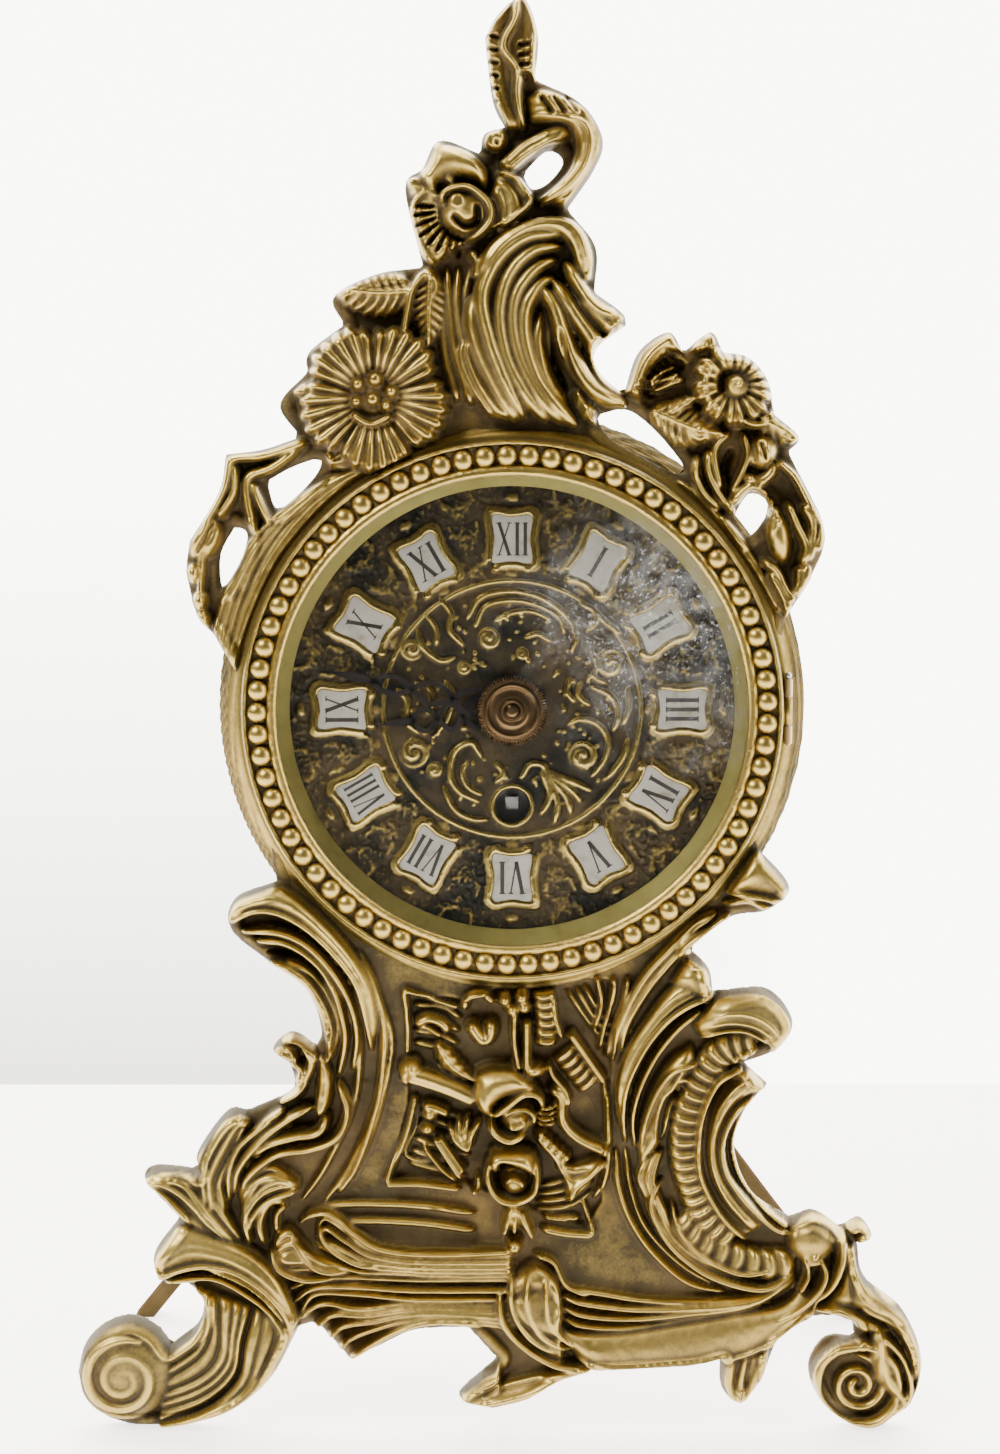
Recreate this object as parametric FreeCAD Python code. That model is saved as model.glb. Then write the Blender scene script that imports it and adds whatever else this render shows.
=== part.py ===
import FreeCAD, Part
import math
import os

# A rococo mantel clock: a pierced cast-brass front on two volute feet, a drum with a
# beaded bezel, and a hand-wound movement with a balance. Millimetres, +Z up, +X to the
# right as seen from the front, front towards -Y. The origin is on the surface that the
# clock stands on, under the middle of its bounding box.

V = FreeCAD.Vector
TAU = 2 * math.pi

# ---------------------------------------------------------------- driving dimensions
DIAL_X = 2.5
DIAL_Z = 148.3

CASTING_FRONT_Y = -27.3         # front of the pierced sheet beside the dial
CASTING_WALL = 5.0
FOOT_FRONT_Y = -40.0
VOLUTE_BACK_Y = -28.0
BAND_BORE = 54.2                # bore of the cast ring around the drum
BAND_FRONT_R = 55.8
BAND_REAR_R = 60.3
BAND_FRONT_Y = -28.0
BAND_REAR_Y = -11.0
LIP_R = 50.5                    # inner edge of the seat behind the bezel
LIP_BACK_Y = -26.2

DRUM_R = 54.0
DRUM_WALL = 0.8
DRUM_FRONT_Y = -26.0
DRUM_REAR_Y = 21.0
COVER_FIT = 0.06                # radial clearance of the push-on cover
COVER_REAR_Y = 24.0
COVER_SKIRT = 6.5

BEZEL_R = 55.2
BEZEL_FRONT_Y = -31.8
BEZEL_BACK_Y = -28.3
BEZEL_GLASS_R = 50.0
BEZEL_INNER_R = 48.0
BEAD_CIRCLE_R = 52.15
BEAD_R = 1.95
BEAD_COUNT = 73
GLASS_BACK_Y = -30.0
GLASS_THICK = 1.3

HINGE_X = DIAL_X + 56.3
HINGE_Y = -28.9
HINGE_PIN_R = 0.45
HINGE_FIT = 0.05
KNUCKLE_R = 0.9
HINGE_SEAT_Y = -26.0            # floor of the recess for the hinge bracket

DIAL_FRONT_Y = -24.8
DIAL_BACK_Y = -24.0
DIAL_R = 52.8
CARTOUCHE_CIRCLE_R = 35.0

WINDING_DROP = 20.0             # winding arbor below the dial centre
WINDING_HOLE_R = 3.5
SQUARE = 2.6

FRONT_PLATE_Y = (-14.0, -12.5)
BACK_PLATE_Y = (7.5, 9.0)
PLATE_R = 38.0
PIVOT_FIT = 0.05

LEG_TIP_X = 83.0
LEG_TIP_Y = 37.2


# ---------------------------------------------------------------- helpers
def save(name, shape):
    shape.exportStep("parts/%s.step" % name)


def fused(shapes):
    """One solid, or a compound where the pieces do not touch."""
    first = shapes[0]
    rest = shapes[1:]
    if not rest:
        return first
    return first.multiFuse(rest).removeSplitter()


def group(shapes):
    return Part.makeCompound(shapes)


def disc(x, z, radius, y0, y1):
    """A round plate or shaft along Y, placed relative to the dial centre."""
    base = V(DIAL_X + x, y0, DIAL_Z + z)
    return Part.makeCylinder(radius, y1 - y0, base, V(0, 1, 0))


def ring(x, z, outer, inner, y0, y1):
    return disc(x, z, outer, y0, y1).cut(disc(x, z, inner, y0 - 1, y1 + 1))


def block(x0, x1, y0, y1, z0, z1):
    return Part.makeBox(x1 - x0, y1 - y0, z1 - z0, V(x0, y0, z0))


def turned(profile):
    """A solid of revolution about the dial axis from (radius, y) points."""
    points = [V(DIAL_X + r, y, DIAL_Z) for r, y in profile]
    face = Part.Face(Part.makePolygon(points + points[:1]))
    return face.revolve(V(DIAL_X, 0, DIAL_Z), V(0, 1, 0), 360)


def extruded(points, y0, y1):
    """A straight-sided plate along Y from (x, z) points."""
    corners = [V(x, y0, z) for x, z in points]
    face = Part.Face(Part.makePolygon(corners + corners[:1]))
    return face.extrude(V(0, y1 - y0, 0))


def smooth_edge(points, y):
    """A curve through (x, z) points, straight where there are only two."""
    corners = [V(x, y, z) for x, z in points]
    if len(corners) == 2:
        return Part.makeLine(corners[0], corners[1])
    curve = Part.BSplineCurve()
    curve.interpolate(corners)
    return curve.toShape()


def outline_plate(strokes, y0, y1):
    """A plate whose outline is a chain of smooth strokes that meet at cusps."""
    edges = [smooth_edge(stroke, y0) for stroke in strokes]
    face = Part.Face(Part.Wire(Part.__sortEdges__(edges)))
    return face.extrude(V(0, y1 - y0, 0))


def closed_plate(points, y0, y1):
    """A plate with one smooth closed outline."""
    curve = Part.BSplineCurve()
    curve.interpolate([V(x, y0, z) for x, z in points], PeriodicFlag=True)
    face = Part.Face(Part.Wire([curve.toShape()]))
    return face.extrude(V(0, y1 - y0, 0))


def dome(x, z, radius, y_back, height):
    """A low round boss that stands towards the front, in world x and z."""
    sphere_r = (radius ** 2 + height ** 2) / (2 * height)
    centre = V(x, y_back - height + sphere_r, z)
    ball = Part.makeSphere(sphere_r, centre)
    slab = block(x - radius, x + radius, y_back - height - 1, y_back, z - radius, z + radius)
    return ball.common(slab)


def bar(start, end, radius):
    """A round bar between two points."""
    a = V(*start)
    b = V(*end)
    return Part.makeCylinder(radius, (b - a).Length, a, b - a)


def turned_about_y(shape, angle_deg, x, z):
    """A copy turned about an axis along Y through (x, z) from the dial centre."""
    copy = shape.copy()
    copy.rotate(V(DIAL_X + x, 0, DIAL_Z + z), V(0, 1, 0), angle_deg)
    return copy


# ---------------------------------------------------------------- front casting
OUTLINE = [
    # left volute foot, along the bottom to the right
    [(-87.3, 11.5), (-85.0, 4.4), (-79.0, 0.3), (-70.0, -0.3), (-57.0, 2.8), (-48.0, 9.5), (-41.5, 21.0)],
    [(-41.5, 21.0), (-37.5, 21.0), (-31.0, 14.0)],
    [(-31.0, 14.0), (-25.5, 16.5), (-17.5, 20.0), (-6.5, 20.5)],
    [(-6.5, 20.5), (-0.5, 14.0)],
    [(-0.5, 14.0), (-8.5, 6.5), (-1.5, 4.0)],
    [(-1.5, 4.0), (6.0, 6.0), (13.0, 10.0), (20.5, 12.0)],
    [(20.5, 12.0), (38.5, 13.0), (45.5, 14.5)],
    [(45.5, 14.5), (46.0, 8.0), (49.5, 5.0), (53.5, 8.5), (57.5, 18.5)],
    [(57.5, 18.5), (63.5, 22.5), (72.0, 22.5), (73.5, 19.0)],
    # right volute foot and the right-hand side upwards
    [(73.5, 19.0), (67.0, 18.0), (64.0, 11.5), (68.0, 3.5), (76.5, -0.3), (84.5, 4.5), (87.3, 13.5),
     (83.5, 24.0), (75.5, 31.0), (74.0, 38.0)],
    [(74.0, 38.0), (77.0, 39.5), (74.5, 43.0), (70.5, 41.0)],
    [(70.5, 41.0), (65.0, 44.5), (60.0, 43.0)],
    [(60.0, 43.0), (52.0, 48.5), (48.5, 58.0), (51.0, 65.5), (55.5, 70.5)],
    [(55.5, 70.5), (50.5, 75.0)],
    [(50.5, 75.0), (57.5, 78.0), (60.5, 84.0), (55.0, 90.5), (44.0, 90.0)],
    [(44.0, 90.0), (43.0, 95.0), (39.0, 99.0)],
    [(39.0, 99.0), (47.5, 105.5), (55.0, 107.0), (59.5, 112.0), (53.0, 120.0)],
    [(53.0, 120.0), (55.0, 145.0), (58.0, 167.0)],
    # flower spray at the upper right
    [(58.0, 167.0), (63.5, 176.0), (65.8, 185.5), (58.5, 201.0)],
    [(58.5, 201.0), (60.5, 204.0), (55.5, 208.5)],
    [(55.5, 208.5), (54.0, 215.5), (50.0, 220.0), (45.0, 221.0)],
    [(45.0, 221.0), (42.5, 225.0), (37.0, 221.0)],
    [(37.0, 221.0), (34.0, 225.0), (28.0, 221.0), (25.0, 212.5)],
    # plume, crest and top leaf
    [(25.0, 212.5), (20.0, 217.0), (19.3, 221.5), (25.5, 226.5)],
    [(25.5, 226.5), (24.5, 229.0), (19.0, 233.0)],
    [(19.0, 233.0), (19.2, 242.0), (13.5, 249.5)],
    [(13.5, 249.5), (19.0, 257.5), (20.5, 263.5), (16.0, 270.5), (7.0, 275.0)],
    [(7.0, 275.0), (7.5, 284.0), (4.5, 291.0), (-0.5, 287.5), (-3.0, 283.0)],
    [(-3.0, 283.0), (-1.5, 271.0), (1.0, 265.5)],
    [(1.0, 265.5), (-3.0, 264.3), (-4.0, 260.5)],
    [(-4.0, 260.5), (-12.0, 263.0), (-15.5, 257.5)],
    [(-15.5, 257.5), (-19.0, 253.5), (-15.5, 238.0)],
    # leaves, daisy and bud stem at the upper left
    [(-15.5, 238.0), (-25.0, 236.5), (-33.5, 232.0), (-31.5, 226.5)],
    [(-31.5, 226.5), (-38.5, 221.0), (-39.0, 217.0)],
    [(-39.0, 217.0), (-44.5, 210.5), (-40.5, 204.0)],
    [(-40.5, 204.0), (-48.0, 201.5), (-55.5, 200.5)],
    [(-55.5, 200.5), (-57.0, 193.0), (-63.0, 183.0)],
    [(-63.0, 183.0), (-63.8, 177.0), (-61.8, 168.0), (-58.0, 163.5)],
    [(-58.0, 163.5), (-52.0, 150.0), (-46.0, 113.0)],
    # left shoulder and the left-hand side downwards
    [(-46.0, 113.0), (-54.5, 109.5), (-55.5, 103.0), (-47.5, 96.0)],
    [(-47.5, 96.0), (-40.0, 90.5), (-37.0, 82.0), (-38.0, 78.5)],
    [(-38.0, 78.5), (-43.0, 81.5), (-47.0, 78.0), (-43.5, 75.0)],
    [(-43.5, 75.0), (-43.0, 69.5), (-52.0, 65.0)],
    [(-52.0, 65.0), (-56.5, 65.0), (-62.5, 57.0), (-62.5, 53.0)],
    [(-62.5, 53.0), (-71.5, 53.5), (-73.5, 50.5), (-66.5, 43.0)],
    [(-66.5, 43.0), (-71.5, 36.0), (-70.5, 30.5), (-65.0, 30.0)],
    [(-65.0, 30.0), (-61.5, 26.5), (-62.5, 21.5), (-68.0, 17.0)],
    [(-68.0, 17.0), (-72.0, 21.5), (-80.0, 22.3), (-87.3, 11.5)],
]

PIERCINGS = [
    [(4.5, 256.5), (9.5, 261.0), (12.7, 259.0), (10.0, 255.0), (6.5, 253.5)],
    [(-47.5, 195.0), (-42.0, 198.0), (-36.5, 199.5), (-38.0, 195.5), (-45.0, 189.5)],
    [(-54.0, 186.0), (-51.5, 184.5), (-52.5, 179.5), (-56.5, 173.5), (-57.0, 180.0)],
    [(19.5, 208.5), (27.0, 209.0), (36.5, 199.5), (36.0, 196.5), (28.0, 200.5), (21.5, 204.5)],
    [(47.5, 188.0), (50.5, 192.5), (54.3, 191.0), (53.5, 187.0), (50.5, 184.0)],
]


def casting_sheet_section():
    """Side view of the sheet as (y, z): upright beside the dial, forward at the feet."""
    front = [(FOOT_FRONT_Y + 3.0, -2.0), (FOOT_FRONT_Y + 3.0, 16.0), (FOOT_FRONT_Y + 5.0, 32.0),
             (FOOT_FRONT_Y + 9.5, 50.0), (CASTING_FRONT_Y, 72.0)]
    crest_top = 293.0
    wall = CASTING_WALL
    front_edge = Part.BSplineCurve()
    front_edge.interpolate([V(-100, y, z) for y, z in front])
    back_edge = Part.BSplineCurve()
    back_edge.interpolate([V(-100, y + wall, z) for y, z in front])
    y_top = CASTING_FRONT_Y
    edges = [
        front_edge.toShape(),
        Part.makeLine(V(-100, y_top, 72), V(-100, y_top, crest_top)),
        Part.makeLine(V(-100, y_top, crest_top), V(-100, y_top + wall, crest_top)),
        Part.makeLine(V(-100, y_top + wall, crest_top), V(-100, y_top + wall, 72)),
        back_edge.toShape(),
        Part.makeLine(V(-100, front[0][0] + wall, -2), V(-100, front[0][0], -2)),
    ]
    face = Part.Face(Part.Wire(Part.__sortEdges__(edges)))
    return face.extrude(V(200, 0, 0))


def cast_ring():
    """The flared ring that carries the drum, with the seat behind the bezel."""
    return turned([
        (LIP_R, BAND_FRONT_Y),
        (BAND_FRONT_R, BAND_FRONT_Y),
        (58.2, -25.0),
        (BAND_REAR_R, -16.0),
        (BAND_REAR_R, BAND_REAR_Y),
        (BAND_BORE, BAND_REAR_Y),
        (BAND_BORE, LIP_BACK_Y),
        (LIP_R, LIP_BACK_Y),
    ])


def rosette(x, z, radius, petals, y_back, height):
    """A flower head: overlapping domed petals around a domed centre."""
    petal_r = 0.42 * radius
    shapes = [dome(x, z, 0.40 * radius, y_back, height)]
    shapes.append(Part.makeCylinder(0.66 * radius, 0.5 * height, V(x, y_back - 0.5 * height, z), V(0, 1, 0)))
    for k in range(petals):
        a = TAU * k / petals
        px = x + 0.6 * radius * math.cos(a)
        pz = z + 0.6 * radius * math.sin(a)
        shapes.append(dome(px, pz, petal_r, y_back, 0.72 * height))
    return shapes


def waist_relief():
    """The raised frame below the dial with its sunk panel and the trophy of roses."""
    y_face = CASTING_FRONT_Y - 2.2
    y_root = CASTING_FRONT_Y + 1.0
    outer = extruded([(-22, 88), (24, 88), (26, 42), (-33, 42)], y_face, y_root)
    inner = extruded([(-18.5, 85), (20, 85), (21.5, 47), (-27, 47)], y_face - 1, y_root)
    shapes = [outer.cut(inner)]
    shapes.append(dome(2.5, 64.5, 8.0, CASTING_FRONT_Y + 0.5, 6.0))
    shapes.append(dome(3.0, 50.0, 6.5, CASTING_FRONT_Y + 0.5, 5.5))
    shapes.append(bar((-20, CASTING_FRONT_Y - 1, 73), (18, CASTING_FRONT_Y - 1, 56), 2.4))
    shapes.append(bar((-14, CASTING_FRONT_Y - 1, 56), (16, CASTING_FRONT_Y - 1, 78), 2.0))
    return shapes


def scroll_relief():
    """The ribbed C-scroll at the right of the waist and the mouldings of the base."""
    scroll = outline_plate([
        [(52.0, 74.5), (43.0, 68.0), (39.5, 56.0), (44.0, 43.0), (57.0, 33.0), (67.0, 35.0)],
        [(67.0, 35.0), (66.0, 42.0)],
        [(66.0, 42.0), (56.0, 43.0), (49.0, 50.0), (47.0, 60.0), (52.0, 74.5)],
    ], -33.5, -25.0)
    base = outline_plate([
        [(-45.0, 38.0), (-20.0, 34.0), (10.0, 36.0), (40.0, 30.0), (66.0, 33.0)],
        [(66.0, 33.0), (60.0, 22.0)],
        [(60.0, 22.0), (30.0, 15.5), (5.0, 14.0), (-20.0, 21.0), (-42.0, 21.5)],
        [(-42.0, 21.5), (-45.0, 38.0)],
    ], -38.5, -31.0)
    return [scroll, base]


def plume():
    """The fluted acanthus plume above the dial."""
    body = outline_plate([
        [(-10.0, 206.0), (-4.0, 218.0), (-6.0, 232.0), (4.0, 246.0), (14.0, 248.0), (18.5, 240.0)],
        [(18.5, 240.0), (10.0, 230.0), (12.0, 218.0), (22.0, 206.0)],
        [(22.0, 206.0), (6.0, 208.5), (-10.0, 206.0)],
    ], -33.0, -25.0)
    return [body, dome(9.0, 241.0, 8.5, -30.0, 5.5)]


def foot_volutes():
    """Left and right volute feet, each with a coiled eye that stands out of it."""
    shapes = []
    for x, z, radius in ((-77.9, 10.4, 9.4), (72.9, 9.5, 8.8)):
        depth = VOLUTE_BACK_Y - FOOT_FRONT_Y
        shapes.append(Part.makeCylinder(radius, depth - 1.5, V(x, FOOT_FRONT_Y + 1.5, z), V(0, 1, 0)))
        shapes.append(Part.makeCylinder(0.45 * radius, depth, V(x, FOOT_FRONT_Y, z), V(0, 1, 0)))
    shapes.append(outline_plate([
        [(-84.0, 3.5), (-74.0, -0.3), (-58.0, 2.5), (-48.0, 9.5), (-42.0, 21.0)],
        [(-42.0, 21.0), (-50.0, 30.0), (-68.0, 36.0)],
        [(-68.0, 36.0), (-58.0, 27.0), (-60.0, 17.0), (-72.0, 8.0)],
        [(-72.0, 8.0), (-84.0, 3.5)],
    ], FOOT_FRONT_Y + 1.0, -29.0))
    shapes.append(outline_plate([
        [(76.0, -0.3), (84.3, 4.5), (86.9, 13.5), (83.0, 23.5), (75.0, 31.0), (66.0, 38.0)],
        [(66.0, 38.0), (68.0, 27.0), (78.5, 20.0), (81.0, 12.0), (76.0, -0.3)],
    ], FOOT_FRONT_Y + 1.0, -29.0))
    return shapes


def front_casting():
    sheet = outline_plate(OUTLINE, -60.0, 0.0).common(casting_sheet_section())
    for hole in PIERCINGS:
        sheet = sheet.cut(closed_plate(hole, -60.0, 0.0))
    parts = [sheet, cast_ring()]
    parts += waist_relief()
    parts += scroll_relief()
    parts += plume()
    parts += foot_volutes()
    parts += rosette(-10.0, 247.5, 9.5, 6, CASTING_FRONT_Y + 0.5, 6.5)
    parts += rosette(-27.0, 210.0, 13.0, 9, CASTING_FRONT_Y + 0.5, 6.5)
    parts += rosette(46.0, 211.5, 8.5, 7, CASTING_FRONT_Y + 0.5, 6.5)
    parts.append(dome(44.0, 80.0, 9.0, CASTING_FRONT_Y + 0.5, 5.0))
    body = parts[0]
    for piece in parts[1:]:
        body = body.fuse(piece)
    # room for the dial, the drum and the open bezel
    body = body.cut(disc(0, 0, LIP_R, -60, 0))
    body = body.cut(disc(0, 0, BAND_BORE, LIP_BACK_Y, 0))
    body = body.cut(disc(0, 0, BEZEL_R + 0.4, -60, BAND_FRONT_Y))
    for angle in CASE_SCREW_ANGLES:
        x, z = around(CASE_SCREW_R, angle)
        body = body.cut(disc(x, z, CASE_SCREW_BODY_R, BAND_REAR_Y - 5.5, 0))
    hinge_room = block(HINGE_X - 1.3, HINGE_X + 1.7, -36, HINGE_SEAT_Y, DIAL_Z - 7.5, DIAL_Z + 8.7)
    body = body.cut(hinge_room)
    # flat undersides where the feet rest
    return body.cut(block(-100, 100, -60, 0, -5, 0))


# ---------------------------------------------------------------- drum and cover
CASE_SCREW_R = 56.6
CASE_SCREW_BODY_R = 0.9
CASE_SCREW_ANGLES = (90, 210, 330)
POST_R = 47.8
POST_ANGLES = (30, 150, 270)
LEG_SCREW_ANGLES = (-96, -84)
LEG_SCREW_Y = 11.0


def around(radius, angle_deg):
    """Place on a circle about the dial centre, counted from +X towards +Z."""
    a = math.radians(angle_deg)
    return radius * math.cos(a), radius * math.sin(a)


def radial_pin(angle_deg, y, radius, r0, r1):
    """A round pin that points away from the dial axis."""
    x0, z0 = around(r0, angle_deg)
    x1, z1 = around(r1, angle_deg)
    return bar((DIAL_X + x0, y, DIAL_Z + z0), (DIAL_X + x1, y, DIAL_Z + z1), radius)


def drum_case():
    shell = ring(0, 0, DRUM_R, DRUM_R - DRUM_WALL, DRUM_FRONT_Y, DRUM_REAR_Y)
    flange = ring(0, 0, DRUM_R, 45.0, DIAL_BACK_Y, DIAL_BACK_Y + 0.8)
    rim = ring(0, 0, 58.6, DRUM_R - 0.4, BAND_REAR_Y, BAND_REAR_Y + 1.0)
    body = fused([shell, flange, rim])
    for angle in CASE_SCREW_ANGLES:
        x, z = around(CASE_SCREW_R, angle)
        body = body.cut(disc(x, z, CASE_SCREW_BODY_R, -20, 0))
    for angle in LEG_SCREW_ANGLES:
        body = body.cut(radial_pin(angle, LEG_SCREW_Y, 1.2, 50, 60))
    return body


def case_screws():
    screws = []
    for angle in CASE_SCREW_ANGLES:
        x, z = around(CASE_SCREW_R, angle)
        seat = BAND_REAR_Y + 1.0
        shank = disc(x, z, CASE_SCREW_BODY_R, BAND_REAR_Y - 5.0, seat)
        head = disc(x, z, 1.9, seat, seat + 1.3)
        slot = block(-2.5, 2.5, seat + 0.8, seat + 2, -0.25, 0.25)
        slot.translate(V(DIAL_X + x, 0, DIAL_Z + z))
        screws.append(shank.fuse(head).cut(slot))
    return group(screws)


def back_cover():
    inner = DRUM_R + COVER_FIT
    skirt = ring(0, 0, inner + 0.8, inner, DRUM_REAR_Y - COVER_SKIRT, COVER_REAR_Y - 0.8)
    plate = disc(0, 0, inner + 0.8, COVER_REAR_Y - 0.8, COVER_REAR_Y)
    lip = ring(0, 0, inner + 1.6, inner, DRUM_REAR_Y - COVER_SKIRT, DRUM_REAR_Y - COVER_SKIRT + 1.2)
    body = fused([skirt, plate, lip])
    body = body.cut(disc(0, 0, 1.5, 20, 30))
    for k in range(5):
        vent = disc(-12 + 6 * k, -30, 1.2, 20, 30)
        body = body.cut(vent)
    return body


def cover_knob():
    stem = disc(0, 0, 1.5, COVER_REAR_Y - 1.6, COVER_REAR_Y + 2.0)
    rivet = disc(0, 0, 2.6, COVER_REAR_Y - 1.6, COVER_REAR_Y - 0.8)
    head = turned([(0, COVER_REAR_Y), (2.2, COVER_REAR_Y), (2.0, COVER_REAR_Y + 2), (4.0, COVER_REAR_Y + 4),
                   (4.2, COVER_REAR_Y + 5.5), (3.0, COVER_REAR_Y + 7), (0, COVER_REAR_Y + 7)])
    return fused([stem, rivet, head])


# ---------------------------------------------------------------- rear leg
SADDLE_R = DRUM_R + 0.1
SADDLE_Y = (7.8, 14.2)
COVER_ROOM_R = DRUM_R + COVER_FIT + 2.1   # the legs keep clear of the cover's lip as it slides off
COVER_ROOM_Y = DRUM_REAR_Y - COVER_SKIRT - 0.3


def leg_section(x, y, z, width, thick):
    """A rectangle across a leg, on a level plane."""
    points = [V(x - thick / 2, y - width / 2, z), V(x + thick / 2, y - width / 2, z),
              V(x + thick / 2, y + width / 2, z), V(x - thick / 2, y + width / 2, z)]
    return Part.makePolygon(points + points[:1])


def rear_leg_frame():
    """A saddle under the drum with two splayed legs that reach back to the table."""
    saddle = ring(0, 0, SADDLE_R + 2.4, SADDLE_R, SADDLE_Y[0], SADDLE_Y[1])
    wedge = extruded([(DIAL_X, DIAL_Z), (DIAL_X - 32, DIAL_Z - 70), (DIAL_X + 32, DIAL_Z - 70)], 0, 40)
    parts = [saddle.common(wedge)]
    for side in (-1, 1):
        top = leg_section(side * 14.6, 11.0, 97.5, 6.2, 5.4)
        middle = leg_section(side * 45, 21.0, 52.0, 6.4, 4.6)
        foot = leg_section(side * LEG_TIP_X, LEG_TIP_Y, 0.0, 5.4, 4.4)
        parts.append(Part.makeLoft([top, middle, foot], True, False))
    body = fused(parts)
    for angle in LEG_SCREW_ANGLES:
        body = body.cut(radial_pin(angle, LEG_SCREW_Y, 1.2, 50, 60))
    body = body.cut(disc(0, 0, COVER_ROOM_R, COVER_ROOM_Y, 40))
    return body.cut(disc(0, 0, SADDLE_R, 0, 40))


def leg_screws():
    screws = []
    for angle in LEG_SCREW_ANGLES:
        shank = radial_pin(angle, LEG_SCREW_Y, 1.15, 51.2, SADDLE_R + 2.8)
        head = radial_pin(angle, LEG_SCREW_Y, 2.2, SADDLE_R + 2.5, SADDLE_R + 3.9)
        screws.append(shank.fuse(head))
    return group(screws)


# ---------------------------------------------------------------- bezel
def bezel_ring():
    body = turned([
        (BEZEL_INNER_R, BEZEL_FRONT_Y - 0.4),
        (BEZEL_INNER_R + 0.8, BEZEL_FRONT_Y - 0.9),
        (BEZEL_INNER_R + 1.8, BEZEL_FRONT_Y),
        (BEZEL_R - 1.3, BEZEL_FRONT_Y),
        (BEZEL_R - 0.6, BEZEL_FRONT_Y - 0.6),
        (BEZEL_R, BEZEL_FRONT_Y + 0.4),
        (BEZEL_R, BEZEL_BACK_Y),
        (BEZEL_GLASS_R + 0.05, BEZEL_BACK_Y),
        (BEZEL_GLASS_R + 0.05, GLASS_BACK_Y - GLASS_THICK - 0.05),
        (BEZEL_INNER_R, GLASS_BACK_Y - GLASS_THICK - 0.05),
    ])
    beads = []
    for k in range(BEAD_COUNT):
        x, z = around(BEAD_CIRCLE_R, 360 * (k + 0.5) / BEAD_COUNT)
        beads.append(Part.makeSphere(BEAD_R, V(DIAL_X + x, BEZEL_FRONT_Y, DIAL_Z + z)))
    body = body.multiFuse(beads)
    leaf = block(HINGE_X - 2.2, HINGE_X - 0.2, HINGE_Y - 0.5, HINGE_Y + 0.3, DIAL_Z - 2.7, DIAL_Z + 2.7)
    knuckle = Part.makeCylinder(KNUCKLE_R, 5.4, V(HINGE_X, HINGE_Y, DIAL_Z - 2.7), V(0, 0, 1))
    body = body.fuse(leaf).fuse(knuckle)
    bore = Part.makeCylinder(HINGE_PIN_R + HINGE_FIT, 20, V(HINGE_X, HINGE_Y, DIAL_Z - 10), V(0, 0, 1))
    inside = disc(0, 0, BEZEL_GLASS_R + 0.05, GLASS_BACK_Y - GLASS_THICK - 0.05, 0)
    return body.cut(bore).cut(inside)


def bezel_glass():
    return disc(0, 0, BEZEL_GLASS_R, GLASS_BACK_Y - GLASS_THICK, GLASS_BACK_Y)


def hinge_bracket():
    """Two knuckles on a small plate that is let into the casting."""
    parts = []
    for z0 in (DIAL_Z - 6.6, DIAL_Z + 3.0):
        knuckle = Part.makeCylinder(KNUCKLE_R, 3.6, V(HINGE_X, HINGE_Y, z0), V(0, 0, 1))
        lug = block(HINGE_X - 0.7, HINGE_X + 0.7, HINGE_Y, HINGE_SEAT_Y - 0.5, z0, z0 + 3.6)
        parts.append(knuckle.fuse(lug))
    plate = block(HINGE_X - 1.2, HINGE_X + 1.6, HINGE_SEAT_Y - 0.7, HINGE_SEAT_Y, DIAL_Z - 6.8, DIAL_Z + 6.8)
    body = fused(parts + [plate])
    pin_hole = Part.makeCylinder(HINGE_PIN_R, 20, V(HINGE_X, HINGE_Y, DIAL_Z - 10), V(0, 0, 1))
    return body.cut(pin_hole)


def hinge_pin():
    pin = Part.makeCylinder(HINGE_PIN_R, 14.0, V(HINGE_X, HINGE_Y, DIAL_Z - 7.0), V(0, 0, 1))
    head = Part.makeSphere(0.75, V(HINGE_X, HINGE_Y, DIAL_Z + 7.3))
    return pin.fuse(head)


# ---------------------------------------------------------------- dial
MEDALLION_R = 26.5
DIAL_FEET_ANGLES = (45, 135, 270)
DIAL_FEET_R = 33.0


def dial_plate():
    plate = disc(0, 0, DIAL_R, DIAL_FRONT_Y, DIAL_BACK_Y)
    rim = ring(0, 0, MEDALLION_R + 0.7, MEDALLION_R - 0.7, DIAL_FRONT_Y - 0.5, DIAL_FRONT_Y)
    boss = ring(0, 0, MEDALLION_R - 1.5, 9.0, DIAL_FRONT_Y - 0.25, DIAL_FRONT_Y)
    feet = [disc(*around(DIAL_FEET_R, a), 1.0, DIAL_BACK_Y, FRONT_PLATE_Y[1]) for a in DIAL_FEET_ANGLES]
    body = fused([plate, rim, boss] + feet)
    body = body.cut(disc(0, 0, 3.2, -30, 0))
    collar = ring(0, -WINDING_DROP, WINDING_HOLE_R + 0.8, WINDING_HOLE_R, DIAL_FRONT_Y - 0.4, DIAL_FRONT_Y)
    return body.cut(disc(0, -WINDING_DROP, WINDING_HOLE_R, -30, -20)).fuse(collar)


def dial_cartouches():
    """Twelve plaques with drawn-in sides, one for each hour."""
    width = 4.6
    height = 5.2
    dip = 0.8
    corners = [(-width, -height), (width, -height), (width, height), (-width, height)]
    middles = [(0, -height + dip), (width - dip, 0), (0, height - dip), (-width + dip, 0)]
    plaques = []
    for hour in range(12):
        edges = []
        y = DIAL_FRONT_Y - 0.45
        for k in range(4):
            ax, az = corners[k]
            mx, mz = middles[k]
            bx, bz = corners[(k + 1) % 4]
            arc = Part.Arc(V(ax, y, az), V(mx, y, mz), V(bx, y, bz))
            edges.append(arc.toShape())
        plaque = Part.Face(Part.Wire(edges)).extrude(V(0, 0.45, 0))
        plaque.translate(V(DIAL_X, 0, DIAL_Z + CARTOUCHE_CIRCLE_R))
        plaques.append(turned_about_y(plaque, 30.0 * hour, 0, 0))
    return group(plaques)


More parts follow.
